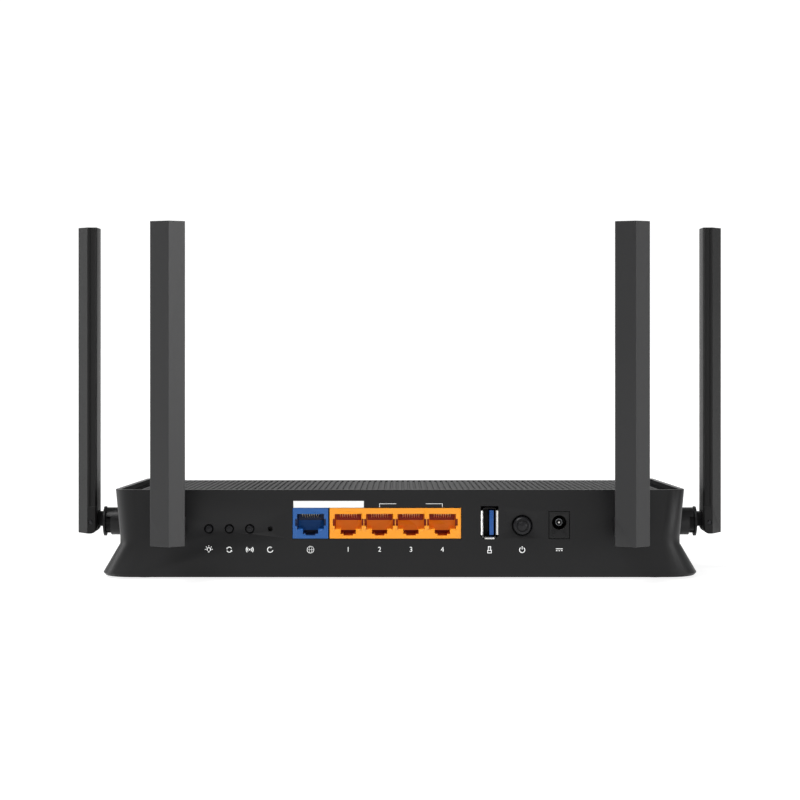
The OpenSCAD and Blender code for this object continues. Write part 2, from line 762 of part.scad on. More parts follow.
module usb_shell() {
    inner_w = usb_w - 2 * sheet_t;
    end_lip_w = inner_w - 2 * usb_end_lip_in;
    lip_w = usb_w + 2 * usb_lip;
    legs = [board_rear + usb_leg_l, usb_d - 2 * usb_leg_l];
    color(metal_color) difference() {
        union() {
            box_round(usb_x, usb_w, -jack_proud, usb_d, usb_z, usb_h);
            box_round(usb_x, lip_w, -jack_proud, usb_lip_t, usb_z, usb_lip_l);
            box_round(usb_x, end_lip_w, -jack_proud, usb_lip_t, usb_z, usb_h + 2 * usb_end_lip);
            for (y = legs) box(usb_x, usb_w, y, y + usb_leg_l, board_z, usb_z);
        }
        box_round(usb_x, inner_w, -jack_proud - overshoot, usb_d + overshoot, usb_z, usb_h - 2 * sheet_t);
    }
}

module usb_tongue() {
    w = usb_w - 2 * sheet_t - 2 * run_gap;
    h = usb_h - 2 * sheet_t - 2 * run_gap;
    color("#2f6fc0") union() {
        box_round(usb_x, w, insulator_front, usb_d - insulator_back, usb_z, h);
        box_round(usb_x + tongue_x, tongue_t, tongue_front, insulator_front + overshoot, usb_z,
            h - 2 * tongue_end);
    }
}

module dc_jack() {
    color(dark_color) difference() {
        box(inlet_x, inlet_w, -jack_proud, inlet_d, board_z, board_z + inlet_h);
        rod(inlet_x, board_z + inlet_hole_z, inlet_hole_d, -jack_proud - overshoot, inlet_hole_l);
    }
}

module dc_pin() color(metal_color) rod(inlet_x, board_z + inlet_hole_z, inlet_pin_d, 1, inlet_hole_l);

module power_switch() {
    color("#3a3a3c") difference() {
        box(power_x, switch_w, switch_front, switch_front + switch_d, board_z, board_z + switch_h);
        rod(power_x, power_z, shank_d + 2 * run_gap, switch_front - overshoot,
            shank_end + power_travel + shank_room);
    }
}

module power_button() {
    ring_d = power_d * cap_ring_share;
    flange_front = wall + move_gap;
    color(dark_color) difference() {
        union() {
            rod(power_x, power_z, power_d, -power_out, power_back);
            rod(power_x, power_z, power_flange_d, flange_front, flange_front + power_flange_t);
            rod(power_x, power_z, shank_d, power_back - overshoot, shank_end);
        }
        difference() {
            rod(power_x, power_z, ring_d, -power_out - overshoot, -power_out + cap_ring_deep);
            rod(power_x, power_z, ring_d - 2 * cap_ring_w, -power_out - 2 * overshoot, overshoot);
        }
    }
}

// A small push-button with the flange that keeps it behind the panel
module small_button(k) color(dark_color) union() {
    x = button_x + k * button_pitch;
    rod(x, button_z, button_d, -button_out, button_back);
    rod(x, button_z, button_d + 2 * flange_lip, wall + move_gap, wall + move_gap + flange_t);
}

module lights_button() small_button(0);
module pairing_button() small_button(1);
module radio_button() small_button(2);

module button_switches() {
    back = key_front + key_cap_t;
    color("#3a3a3c") for (k = [0:2]) let (x = button_x + k * button_pitch) union() {
        rod(x, button_z, button_d - 2 * key_cap_lip, key_front, back + key_sink);
        box(x, key_w, back, back + key_l, board_z, board_z + key_h);
    }
}

module reset_switch() {
    color("#3a3a3c") difference() {
        box(reset_x, key_w, reset_body, reset_body + reset_body_l, board_z, board_z + key_h);
        rod(reset_x, button_z, reset_d + 2 * run_gap, reset_body - overshoot,
            reset_back + button_travel + move_gap);
    }
}

module reset_plunger() color(dark_color) rod(reset_x, button_z, reset_d, reset_front, reset_back);

module main_chip() color(dark_color) on_board(chip_place[0], chip_place[1], chip_w, chip_w, chip_h);

module thermal_pad() color("#9aa7b5")
    translate([0, 0, chip_h]) on_board(chip_place[0], chip_place[1], chip_w, chip_w, pad_h);

module heat_sink() {
    fin_pitch = (sink_w - fin_t) / (fin_count - 1);
    fin_z = sink_base_h / 2;
    color("#8d9196") translate([chip_place[0], rear_y + chip_place[1], board_z + chip_h + pad_h]) union() {
        translate([-sink_w / 2, -sink_w / 2, 0]) cube([sink_w, sink_w, sink_base_h]);
        row(fin_count, fin_pitch) translate([-fin_t / 2, -sink_w / 2, fin_z])
            cube([fin_t, sink_w, sink_h - fin_z]);
    }
}

// A box on the board, round a place across the board and behind the port panel
module on_board(x, y, w, l, h) translate([x - w / 2, rear_y + y - l / 2, board_z]) cube([w, l, h]);

module radio_shields() {
    color(metal_color) for (p = shield_places) difference() {
        on_board(p[0], p[1], shield_w, shield_l, shield_h);
        translate([0, 0, -sheet_t])
            on_board(p[0], p[1], shield_w - 2 * sheet_t, shield_l - 2 * sheet_t, shield_h);
    }
}

module small_chips() color(dark_color) for (c = small_chip_places)
    on_board(c[0], c[1], c[2], c[3], small_chip_h);

module magnetics() {
    y = jack_d + magnetics_gap + magnetics_l / 2;
    color(dark_color) {
        on_board(single_x, y, magnetics_w, magnetics_l, magnetics_h);
        row(jack_count, jack_pitch) on_board(block_x, y, magnetics_w, magnetics_l, magnetics_h);
    }
}

module capacitors() {
    color("#3b3f46") for (p = capacitor_places) translate([p[0], rear_y + p[1], board_z]) difference() {
        cylinder(d = capacitor_d, h = capacitor_h);
        translate([0, 0, capacitor_neck_z]) difference() {
            cylinder(d = capacitor_d + overshoot, h = capacitor_neck_h);
            cylinder(d = capacitor_d - 2 * capacitor_neck, h = capacitor_neck_h);
        }
    }
}

module coax_sockets() color("#c9a24a") for (route = lead_routes)
    translate([route[0][0], route[0][1], board_z]) cylinder(d = socket_d, h = socket_h);

module antenna_leads() color("#8a8d91") for (route = lead_routes) lead(route);

// A round cable along a smooth curve through the points of its route
module lead(route) {
    n = len(route);
    ends = concat([2 * route[0] - route[1]], route, [2 * route[n - 1] - route[n - 2]]);
    line = [for (k = [0:n - 2], s = [0:lead_steps - 1]) curve(ends, k, s / lead_steps)];
    path = concat([route[0] + (socket_d / 2 + fit_gap / 2) * unit(line[1] - line[0])],
        [for (k = [2:len(line) - 1]) line[k]], [route[n - 1]]);
    last = len(path) - 1;
    loft([for (k = [0:last]) ring(path[k], unit(path[min(k + 1, last)] - path[max(k - 1, 0)]))]);
}

function unit(v) = v / norm(v);
// A point between the points k + 1 and k + 2 of a list, on a curve through them all
function curve(p, k, s) = 0.5 * (2 * p[k + 1] + (p[k + 2] - p[k]) * s
    + (2 * p[k] - 5 * p[k + 1] + 4 * p[k + 2] - p[k + 3]) * s * s
    + (3 * p[k + 1] - p[k] - 3 * p[k + 2] + p[k + 3]) * s * s * s);
// A circle of points round a place on a cable that runs along a direction
function ring(place, along) = let (right = unit(cross(along, [0, 0, 1])), up = cross(right, along))
    [for (k = [0:lead_sides - 1]) let (a = 360 * k / lead_sides)
        place + lead_d / 2 * (right * cos(a) + up * sin(a))];

// Antennas are drawn with the stem's axis along -Y, from the wall's outer face at Y = 0
module place(k) translate(antenna_places[k][0]) rotate([0, 0, antenna_places[k][1]]) children();
module rod_out(d, from, to) translate([0, -from, 0]) rotate([90, 0, 0]) cylinder(d = d, h = to - from);
// A profile drawn with X as the distance from the wall and Y as the height, w wide
module side_profile(w) translate([w / 2, 0, 0]) rotate([90, 0, -90]) linear_extrude(w) children();

module collar() {
    color(case_color) difference() {
        union() {
            rod_out(collar_d, -collar_in, collar_out);
            rod_out(collar_flange_d, -collar_in - collar_flange_t, -collar_in);
        }
        rod_out(stem_d + 2 * run_gap, -stem_in, collar_out + overshoot);
        translate([-collar_d / 2 - overshoot, -collar_out - overshoot, -collar_d])
            cube([collar_d + 2 * overshoot, notch_l + overshoot, collar_d + notch_z]);
    }
}

module knuckle() {
    plate_in = collar_out + plate_gap;
    tongue_root = plate_face - plate_t / 2;
    color(case_color) difference() {
        union() {
            rod_out(stem_d, -stem_in - snap_t, tongue_root);
            rod_out(snap_d, -stem_in - snap_t, -stem_in);
            rod_out(plate_d, plate_in, plate_face);
            intersection() {
                translate([-stop_w / 2, -plate_in - plate_t / 2, -stop_r])
                    cube([stop_w, notch_l - move_gap + plate_gap + plate_t / 2, stop_r]);
                rod_out(2 * stop_r, collar_out - notch_l, plate_face);
            }
            side_profile(tongue_w) polygon([[tongue_root, -tongue_bottom], [pin_at, -tongue_bottom],
                [pin_at, eye_r], [pin_at - tongue_bevel, tongue_top], [tongue_root, tongue_top]]);
            translate([0, -pin_at, 0]) rotate([0, 90, 0]) cylinder(r = eye_r, h = tongue_w, center = true);
        }
        rod_out(lead_bore_d, -stem_in - snap_t - overshoot, plate_face - plate_t / 3);
        for (a = [0, 90]) rotate([0, a, 0]) translate([-stem_d, stem_in - snap_slit_l, -snap_slit_w / 2])
            cube([2 * stem_d, snap_slit_l + snap_t + overshoot, snap_slit_w]);
        translate([0, -pin_at, 0]) rotate([0, 90, 0])
            cylinder(d = pin_d + 2 * run_gap, h = tongue_w + overshoot, center = true);
    }
}

module hinge_pin() color(metal_color) translate([0, -pin_at, 0]) rotate([0, 90, 0])
    cylinder(d = pin_d, h = blade_w - 2 * pin_recess, center = true);

// The blade's full section from its back face to its ridge, drawn in by inset
module blade_section(inset) {
    hw = blade_w / 2 - inset;
    polygon([[-hw, -back_at], [hw, -back_at], [hw, -edge_at], [ridge_off, inset - edge_at - ridge_h],
        [-hw, -edge_at]]);
}

// The back shell's outline, from its chamfered back face out to the distance to
module back_section(hw, to) {
    polygon([[-hw, -to], [-hw, -back_at - back_chamfer], [back_chamfer - hw, -back_at],
        [hw - back_chamfer, -back_at], [hw, -back_at - back_chamfer], [hw, -to]]);
}

// The slot that lets the knuckle's tongue in from the back and from below
module tongue_slot() {
    w = tongue_w + 2 * move_gap;
    translate([-w / 2, -pin_at - eye_r - slot_gap, -blade_down - overshoot])
        cube([w, blade_back + eye_r + slot_gap + overshoot, blade_down + tongue_top + slot_gap + overshoot]);
}

module blade_front_shell() {
    boss_w = 2 * boss_hw + 2 * fit_gap;
    color(case_color) difference() {
        translate([0, 0, -blade_down]) linear_extrude(blade_down + blade_up) intersection() {
            blade_section(0);
            translate([-blade_w, -2 * edge_at]) square([2 * blade_w, 2 * edge_at - part_at]);
        }
        translate([-blade_w, -edge_at, -blade_down - overshoot])
            cube([2 * blade_w, edge_at, blade_down + ear_top + overshoot]);
        translate([-boss_w / 2, -edge_at - boss_out - fit_gap, -blade_down - overshoot])
            cube([boss_w, edge_at, blade_down + ear_top + overshoot]);
        translate([0, 0, ear_top + blade_wall]) linear_extrude(blade_up - ear_top - 2 * blade_wall)
            blade_section(blade_wall);
        tongue_slot();
    }
}

module blade_back_shell() {
    color(case_color) difference() {
        union() {
            translate([0, 0, ear_top - 0.5]) linear_extrude(blade_up - ear_top + 0.5)
                back_section(back_shell_hw, part_at);
            translate([0, 0, -blade_down]) linear_extrude(blade_down + ear_top)
                back_section(blade_w / 2, edge_at);
            translate([-boss_hw, -edge_at - boss_out, -blade_down])
                cube([2 * boss_hw, boss_out + blade_edge, blade_down + ear_top]);
        }
        difference() {
            translate([-blade_w, -pin_at, -blade_down - overshoot])
                cube([2 * blade_w, blade_back + overshoot, blade_back + overshoot]);
            translate([0, -pin_at, blade_back - blade_down]) rotate([0, 90, 0])
                cylinder(r = blade_back, h = 3 * blade_w, center = true);
        }
        translate([0, 0, ear_top + blade_wall]) linear_extrude(blade_up - ear_top - 2 * blade_wall)
            translate([-element_hw - fit_gap, -part_at - overshoot])
                square([2 * (element_hw + fit_gap), element_t + 0.1 + overshoot]);
        tongue_slot();
        translate([0, -pin_at, 0]) rotate([0, 90, 0])
            cylinder(d = pin_d + 2 * pin_grip, h = 2 * blade_w, center = true);
    }
}

module blade_element() {
    low = ear_top + blade_wall + fit_gap;
    color("#2f7a4d") translate([-element_hw, -part_at, low])
        cube([2 * element_hw, element_t, blade_up - blade_wall - fit_gap - low]);
}

top_cover();
front_fascia();
main_case();
bottom_cover();
rubber_feet();
case_screws();
main_board();
board_screws();
wan_jack();
wan_contacts();
lan_jacks();
lan_contacts();
usb_shell();
usb_tongue();
dc_jack();
dc_pin();
power_switch();
power_button();
lights_button();
pairing_button();
radio_button();
button_switches();
reset_switch();
reset_plunger();
main_chip();
thermal_pad();
heat_sink();
radio_shields();
small_chips();
magnetics();
capacitors();
light_guide();
indicator_lights();
coax_sockets();
antenna_leads();
place(0) collar();  // rear_left_collar
place(0) knuckle();  // rear_left_knuckle
place(0) hinge_pin();  // rear_left_pin
place(0) blade_front_shell();  // rear_left_front_shell
place(0) blade_back_shell();  // rear_left_back_shell
place(0) blade_element();  // rear_left_element
place(1) collar();  // rear_right_collar
place(1) knuckle();  // rear_right_knuckle
place(1) hinge_pin();  // rear_right_pin
place(1) blade_front_shell();  // rear_right_front_shell
place(1) blade_back_shell();  // rear_right_back_shell
place(1) blade_element();  // rear_right_element
place(2) collar();  // side_left_collar
place(2) knuckle();  // side_left_knuckle
place(2) hinge_pin();  // side_left_pin
place(2) blade_front_shell();  // side_left_front_shell
place(2) blade_back_shell();  // side_left_back_shell
place(2) blade_element();  // side_left_element
place(3) collar();  // side_right_collar
place(3) knuckle();  // side_right_knuckle
place(3) hinge_pin();  // side_right_pin
place(3) blade_front_shell();  // side_right_front_shell
place(3) blade_back_shell();  // side_right_back_shell
place(3) blade_element();  // side_right_element
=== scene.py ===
import json
import math
import bmesh
import bpy
from mathutils import Matrix, Vector


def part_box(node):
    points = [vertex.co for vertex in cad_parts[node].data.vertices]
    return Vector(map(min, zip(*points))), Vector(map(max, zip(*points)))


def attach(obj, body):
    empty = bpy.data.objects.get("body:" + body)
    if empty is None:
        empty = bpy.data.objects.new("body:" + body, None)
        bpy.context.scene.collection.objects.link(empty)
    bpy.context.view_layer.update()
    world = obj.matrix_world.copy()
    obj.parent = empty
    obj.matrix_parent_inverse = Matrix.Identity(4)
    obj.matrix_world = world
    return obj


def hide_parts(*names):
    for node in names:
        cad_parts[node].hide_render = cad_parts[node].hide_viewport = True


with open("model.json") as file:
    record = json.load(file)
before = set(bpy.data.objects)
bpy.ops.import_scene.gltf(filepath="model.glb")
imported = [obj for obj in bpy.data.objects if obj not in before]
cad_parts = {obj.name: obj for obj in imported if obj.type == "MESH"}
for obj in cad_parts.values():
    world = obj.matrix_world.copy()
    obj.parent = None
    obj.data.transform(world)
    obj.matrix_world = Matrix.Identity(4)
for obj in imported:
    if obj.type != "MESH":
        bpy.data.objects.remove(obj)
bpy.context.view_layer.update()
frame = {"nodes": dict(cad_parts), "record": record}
nodes = frame["nodes"]
mm = 0.001
print("frame loaded,", len(nodes), "nodes")

bodyOf = {name: body for body, names in frame["record"]["behaviour"]["bodies"].items() for name in names}
slotOf = {part["node"]: part["material_slot"] for part in frame["record"]["subparts"]}


def low(name):
    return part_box(name)[0]


def high(name):
    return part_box(name)[1]


def middle(name):
    return (low(name) + high(name)) / 2


# The top slopes down to the front: a place on it is v behind the port panel and w above the top
rearY = low("main_case").y
topFace = max(nodes["top_cover"].data.polygons, key=lambda face: face.area if face.normal.z > 0.9 else 0)
onTop = (Matrix.Translation((0, rearY, high("main_case").z))
    @ Matrix.Rotation(-math.atan2(topFace.normal.y, topFace.normal.z), 4, "X"))


def linear(colour):
    channels = [int(colour[k:k + 2], 16) / 255 for k in (1, 3, 5)]
    return [c / 12.92 if c <= 0.04045 else ((c + 0.055) / 1.055) ** 2.4 for c in channels] + [1.0]


def addNode(tree, kind, settings=None, links=None):
    node = tree.nodes.new(kind)
    for key, value in (settings or {}).items():
        if isinstance(key, str) and hasattr(node, key):
            setattr(node, key, value)
        else:
            node.inputs[key].default_value = value
    for key, sockets in (links or {}).items():
        for socket in sockets if isinstance(sockets, list) else [sockets]:
            tree.links.new(socket, node.inputs[key])
    return node


def startMaterial(name):
    material = bpy.data.materials.new(name)
    material.use_nodes = True
    tree = material.node_tree
    tree.nodes.clear()
    place = addNode(tree, "ShaderNodeTexCoord")
    return material, tree, place.outputs["Object"]


def endMaterial(material, tree, shader):
    addNode(tree, "ShaderNodeOutputMaterial", {}, {"Surface": shader.outputs[0]})
    return material


# Moulded plastic: a slow drift of tone from the melt's flow, and the fine grain of the etched mould
def mouldedPlastic(name, look):
    material, tree, place = startMaterial(name)
    cloud = addNode(tree, "ShaderNodeTexNoise", {"Scale": 1 / (look["cloudMm"] * mm), "Detail": 3.0},
        {"Vector": place})
    colour = addNode(tree, "ShaderNodeMix", {"data_type": "RGBA", 6: linear(look["dark"]),
        7: linear(look["light"])}, {0: cloud.outputs["Fac"]})
    grain = addNode(tree, "ShaderNodeTexNoise", {"Scale": 1 / (look["grainMm"] * mm), "Detail": 2.0,
        "Roughness": 0.6}, {"Vector": place})
    rough = addNode(tree, "ShaderNodeMapRange", {"From Min": 0.3, "From Max": 0.7,
        "To Min": look["rough"] - look["spread"], "To Max": look["rough"] + look["spread"]},
        {"Value": grain.outputs["Fac"]})
    bump = addNode(tree, "ShaderNodeBump", {"Strength": look["bump"],
        "Distance": look["grainHeight"] * mm}, {"Height": grain.outputs["Fac"]})
    shader = addNode(tree, "ShaderNodeBsdfPrincipled", {"IOR": look["ior"],
        "Specular IOR Level": look["specular"], "Emission Color": linear(look.get("glowColour", look["dark"])),
        "Emission Strength": look.get("glow", 0.0)}, {"Base Color": colour.outputs[2],
        "Roughness": rough.outputs["Result"], "Normal": bump.outputs["Normal"]})
    return endMaterial(material, tree, shader)


# Plated or drawn metal: faint lines along the draw that streak its gloss
def metalSheet(name, look):
    material, tree, place = startMaterial(name)
    stretch = addNode(tree, "ShaderNodeMapping", {"Scale": look["stretch"]}, {"Vector": place})
    lines = addNode(tree, "ShaderNodeTexNoise", {"Scale": 1 / (look["lineMm"] * mm), "Detail": 3.0},
        {"Vector": stretch.outputs["Vector"]})
    rough = addNode(tree, "ShaderNodeMapRange", {"From Min": 0.3, "From Max": 0.7,
        "To Min": look["rough"] - 0.08, "To Max": look["rough"] + 0.08}, {"Value": lines.outputs["Fac"]})
    bump = addNode(tree, "ShaderNodeBump", {"Strength": 0.15, "Distance": 0.01 * mm},
        {"Height": lines.outputs["Fac"]})
    shader = addNode(tree, "ShaderNodeBsdfPrincipled", {"Metallic": 1.0,
        "Base Color": linear(look["colour"])}, {"Roughness": rough.outputs["Result"],
        "Normal": bump.outputs["Normal"]})
    return endMaterial(material, tree, shader)


# Glass-fibre board under solder mask: green lacquer with the copper tracks showing lighter through it
def solderMask(name, look):
    material, tree, place = startMaterial(name)
    tracks = addNode(tree, "ShaderNodeTexBrick", {"offset": 0.37, "squash_frequency": 3,
        "Scale": 1 / (look["trackMm"] * mm), "Mortar Size": 0.06, "Brick Width": 2.6, "Row Height": 0.5,
        "Color1": linear(look["dark"]), "Color2": linear(look["dark"]), "Mortar": linear(look["light"])},
        {"Vector": place})
    grain = addNode(tree, "ShaderNodeTexNoise", {"Scale": 1 / (0.4 * mm)}, {"Vector": place})
    bump = addNode(tree, "ShaderNodeBump", {"Strength": 0.2, "Distance": 0.02 * mm},
        {"Height": grain.outputs["Fac"]})
    shader = addNode(tree, "ShaderNodeBsdfPrincipled", {"Roughness": look["rough"], "IOR": 1.5},
        {"Base Color": tracks.outputs["Color"], "Normal": bump.outputs["Normal"]})
    return endMaterial(material, tree, shader)


caseLook = {"light": "#161617", "dark": "#121213", "rough": 0.4, "spread": 0.06, "cloudMm": 30,
    "grainMm": 0.5, "grainHeight": 0.02, "bump": 0.35, "ior": 1.53, "specular": 0.25}
coverLook = {**caseLook, "light": "#1f1f20", "dark": "#1b1b1c", "rough": 0.6, "specular": 0.33}
# Painted shade: the cover's bands are its own plastic, darker and nearly without reflection
bandShadeLook = {**caseLook, "light": "#141415", "dark": "#111112", "rough": 0.75, "specular": 0.002}
bladeLook = {**caseLook, "light": "#202021", "dark": "#1c1c1d", "rough": 0.38, "specular": 0.45}
# Painted shade: a darker, duller copy of the blade plastic for the outer pair
sideBladeShadeLook = {**bladeLook, "light": "#191919", "dark": "#151515", "rough": 0.5, "specular": 0.22}
hingeLook = {**caseLook, "light": "#151516", "dark": "#101011", "rough": 0.45}
fasciaLook = {**caseLook, "light": "#0b0b0c", "dark": "#090909", "rough": 0.4, "spread": 0.03,
    "bump": 0.05, "specular": 0.25}
rubberLook = {**caseLook, "light": "#1a1a1a", "dark": "#131313", "rough": 0.85, "bump": 0.6}
buttonLook = {**caseLook, "light": "#131316", "dark": "#101013", "rough": 0.42, "bump": 0.1, "specular": 0.26}
blueLook = {**caseLook, "light": "#225a9e", "dark": "#1e5292", "rough": 0.35, "spread": 0.05,
    "bump": 0.1, "specular": 0.4}
orangeLook = {**blueLook, "light": "#f59d22", "dark": "#f0961c"}
# Painted light: the plug holes' insides are paler copies of the jack nylon that glow
blueInsidePaintedGlow = {**blueLook, "light": "#2e72c4", "dark": "#2868b8", "specular": 0.2, "glow": 0.06}
orangeInsidePaintedGlow = {**blueInsidePaintedGlow, "light": "#fdb030", "dark": "#fba828", "glowColour": "#f0701c", "glow": 0.28}
# Painted shade: the combs and the jack notches are the jacks' nylon made dark
blueComb = {**blueInsidePaintedGlow, "light": "#2a3658", "dark": "#24304e", "glow": 0.0}
orangeComb = {**blueComb, "light": "#9a3010", "dark": "#8a2a0e"}
whiteLook = {**caseLook, "light": "#e9e9e5", "dark": "#dfdfda", "rough": 0.5, "specular": 0.4}
greyLook = {**caseLook, "light": "#5d6064", "dark": "#505358", "rough": 0.5, "specular": 0.4}
boardLook = {"dark": "#174f33", "light": "#2b7a4c", "rough": 0.28, "trackMm": 2.2}
steelLook = {"colour": "#b9bbbd", "rough": 0.35, "lineMm": 0.2, "stretch": (1, 1, 1)}
finishes = {
    "case_black": mouldedPlastic("grainedAbs", caseLook),  # matt black that drinks light, soft at grazing
    "cover_black": mouldedPlastic("ribbedCoverAbs", coverLook),  # drier and paler, ribs catch the sky
    "band_black": mouldedPlastic("mattBandAbs", bandShadeLook),  # painted shade: the cover's plastic made darker and almost without reflection, so the bands stay dark beside the bright ribs
    "fascia_black": mouldedPlastic("polishedAbs", fasciaLook),  # piano black with clear reflections
    "foot_rubber": mouldedPlastic("mouldedRubber", rubberLook),  # dead matt with a coarse skin
    "blade_black": mouldedPlastic("grainedBladeAbs", bladeLook),  # a shade greyer than the case
    "side_blade": mouldedPlastic("mattBladeAbs", sideBladeShadeLook),  # painted shade: the outer pair is the same blade plastic made darker and duller
    "knuckle_black": mouldedPlastic("nylonKnuckle", hingeLook),  # darker, slightly waxy bearing nylon
    "button_black": mouldedPlastic("satinButtonAbs", buttonLook),  # satin, so the rims glint
    "socket_black": mouldedPlastic("socketNylon", hingeLook),  # deep black; painted shade on the data socket's tube and block
    # Dull charcoal nylon, paler than the case so the switches read on the board
    "switch_grey": mouldedPlastic("switchNylon", {**greyLook, "light": "#2f3032", "dark": "#27282a"}),
    # Dense black resin with a soft sheen
    "chip_black": mouldedPlastic("chipEpoxy", {**caseLook, "light": "#1a1a1c"}),
    # Pale nylon that draws a light ring inside the inlet
    "collar_grey": mouldedPlastic("collarNylon", {**greyLook, "light": "#85888b", "dark": "#7c7f82"}),
    "pad_grey": mouldedPlastic("siliconePad", greyLook),  # dull mid grey, like putty
    "board_green": solderMask("boardSolderMask", boardLook),  # glossy green with paler tracks
    "element_green": solderMask("elementSolderMask", {**boardLook, "trackMm": 5.0}),  # the same, broader tracks
    # Near black as painted shade, so the pinhole reads as empty
    "plunger_black": mouldedPlastic("plungerNylon", {**hingeLook, "light": "#0c0c0c", "dark": "#090909"}),
    "guide_clear": mouldedPlastic("frostedAcrylic", {**whiteLook, "rough": 0.2}),  # milky with a wet gloss
    "lamp_white": mouldedPlastic("lampEpoxy", whiteLook),  # milky resin without the gloss
    # Flat clean white that stands off the black
    "ink_white": mouldedPlastic("padPrintedInk", {**whiteLook, "light": "#f6f7f6", "dark": "#eff1f0"}),
    "lead_grey": mouldedPlastic("leadJacket", greyLook),  # dull grey cable skin
    # Dark shrink sleeve with a slight blue cast
    "capacitor_can": mouldedPlastic("capacitorSleeve", {**greyLook, "light": "#33363c", "dark": "#2b2e33"}),
    "jack_blue": mouldedPlastic("blueJackNylon", blueLook),  # saturated nylon, glossy enough for pale rims
    "jack_orange": mouldedPlastic("orangeJackNylon", orangeLook),  # the same nylon in a warm orange
    "blue_inside": mouldedPlastic("blueNylonInside", blueInsidePaintedGlow),  # painted light: paler than the jack's nylon and glowing, so the plug holes look lit inside their shade
    "orange_inside": mouldedPlastic("orangeNylonInside", orangeInsidePaintedGlow),  # paler inside the plug holes
    "blue_comb": mouldedPlastic("blueComb", blueComb),  # painted shade: the jack's nylon made dark, which sets off the wires
    "orange_comb": mouldedPlastic("orangeComb", orangeComb),  # the same painted shade in a burnt orange
    # Deeper blue than the jack, so the tongue reads inside its tube
    "tongue_blue": mouldedPlastic("blueTongueNylon", {**blueLook, "light": "#1c5198", "dark": "#184a8c"}),
    "screw_steel": metalSheet("zincPlatedSteel", steelLook),  # cool bright grey
    # Warm near-white plating whose lips flash
    "socket_steel": metalSheet("nickelPlatedSteel", {**steelLook, "colour": "#f2f0ec", "rough": 0.3}),
    # Pale tin with broad soft streaks
    "shield_tin": metalSheet("tinnedSteel", {**steelLook, "colour": "#c9cacb", "lineMm": 0.6}),
    # Dull silver drawn along the fins
    "sink_aluminium": metalSheet("anodisedAluminium", {**steelLook, "colour": "#8d9196", "rough": 0.4,
        "stretch": (1, 0.1, 1)}),
    # Pale gold that lifts the wires out of the dark holes
    "contact_gold": metalSheet("goldPlatedBronze", {**steelLook, "colour": "#f7e2b8", "rough": 0.5}),
    # Dark metal with one small highlight on its tip
    "pin_black": metalSheet("blackenedSteel", {**steelLook, "colour": "#3a3a3c", "rough": 0.4}),
}
print("finishes made,", len(finishes))


def addObject(name, mesh):
    piece = bpy.data.objects.new(name, mesh)
    bpy.context.scene.collection.objects.link(piece)
    return piece


def meshPiece(name, shape):
    mesh = bpy.data.meshes.new(name)
    shape.to_mesh(mesh)
    shape.free()
    return addObject(name, mesh)


def shadeSmooth(piece, angle=32):
    for face in piece.data.polygons:
        face.use_smooth = True
    piece.data.set_sharp_from_angle(angle=math.radians(angle))


def soften(piece, width, segments=2, angle=32):
    shadeSmooth(piece, angle)
    bevel = piece.modifiers.new("softEdges", "BEVEL")
    bevel.width = width * mm
    bevel.segments = segments
    bevel.limit_method = "ANGLE"
    bevel.angle_limit = math.radians(angle)
    bevel.use_clamp_overlap = False
    bevel.harden_normals = True


def mount(piece, node, *more, slot=None):
    slot = slot or slotOf[node]
    piece.data.materials.clear()
    piece.data.materials.append(finishes[slot])
    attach(piece, bodyOf[node])
    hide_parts(node, *more)
    return piece


def mergedShape(name):
    shape = bmesh.new()
    shape.from_mesh(nodes[name].data)
    bmesh.ops.remove_doubles(shape, verts=shape.verts, dist=0.002 * mm)
    return shape


def camel(name):
    words = name.split("_")
    return words[0] + "".join(word.capitalize() for word in words[1:])


def softCopy(name, width, segments=2, angle=32, slot=None):
    piece = meshPiece(camel(name), mergedShape(name))
    soften(piece, width, segments, angle)
    return mount(piece, name, slot=slot)


# The boxes of a node's separate solids
def solidBoxes(name):
    shape = mergedShape(name)
    left, boxes = set(shape.verts), []
    while left:
        reached = [left.pop()]
        for vert in reached:
            fresh = {edge.other_vert(vert) for edge in vert.link_edges} & left
            left -= fresh
            reached.extend(fresh)
        corners = list(zip(*(vert.co for vert in reached)))
        boxes.append((Vector(map(min, corners)), Vector(map(max, corners))))
    shape.free()
    return sorted(boxes, key=lambda box: tuple(round(v, 4) for v in box[0]))


# A turned piece: rings of (radius, distance behind the front) round a line that runs along Y
def turnedShape(profile, centre, sides=48):
    shape = bmesh.new()
    rings = []
    for radius, back in profile:
        if radius == 0:
            rings.append([shape.verts.new((centre.x, centre.y + back * mm, centre.z))])
            continue
        turns = [2 * math.pi * k / sides for k in range(sides)]
        rings.append([shape.verts.new((centre.x + radius * mm * math.cos(turn), centre.y + back * mm,
            centre.z + radius * mm * math.sin(turn))) for turn in turns])
    for one, two in zip(rings, rings[1:]):
        for k in range(sides):
            corners = {one[k % len(one)]: 0, one[(k + 1) % len(one)]: 0,
                two[(k + 1) % len(two)]: 0, two[k % len(two)]: 0}
            shape.faces.new(corners)
    bmesh.ops.recalc_face_normals(shape, faces=shape.faces)
    return shape


# Keeps the part of a shape behind each plane and closes the cut
def cutShape(shape, planes):
    for point, normal in planes:
        geometry = shape.verts[:] + shape.edges[:] + shape.faces[:]
        cut = bmesh.ops.bisect_plane(shape, geom=geometry, dist=0.0001 * mm, plane_co=point,
            plane_no=normal, clear_outer=True)
        edges = [item for item in cut["geom_cut"] if isinstance(item, bmesh.types.BMEdge)]
        bmesh.ops.holes_fill(shape, edges=edges, sides=0)
    return shape


def startTree(name, sizes):
    tree = bpy.data.node_groups.new(name, "GeometryNodeTree")
    tree.interface.new_socket("Geometry", in_out="INPUT", socket_type="NodeSocketGeometry")
    for label, value in sizes.items():
        kind = "Int" if isinstance(value, int) else "Float" if isinstance(value, float) else "Vector"
        tree.interface.new_socket(label, in_out="INPUT", socket_type="NodeSocket" + kind)
    tree.interface.new_socket("Geometry", in_out="OUTPUT", socket_type="NodeSocketGeometry")
    return tree, addNode(tree, "NodeGroupInput").outputs


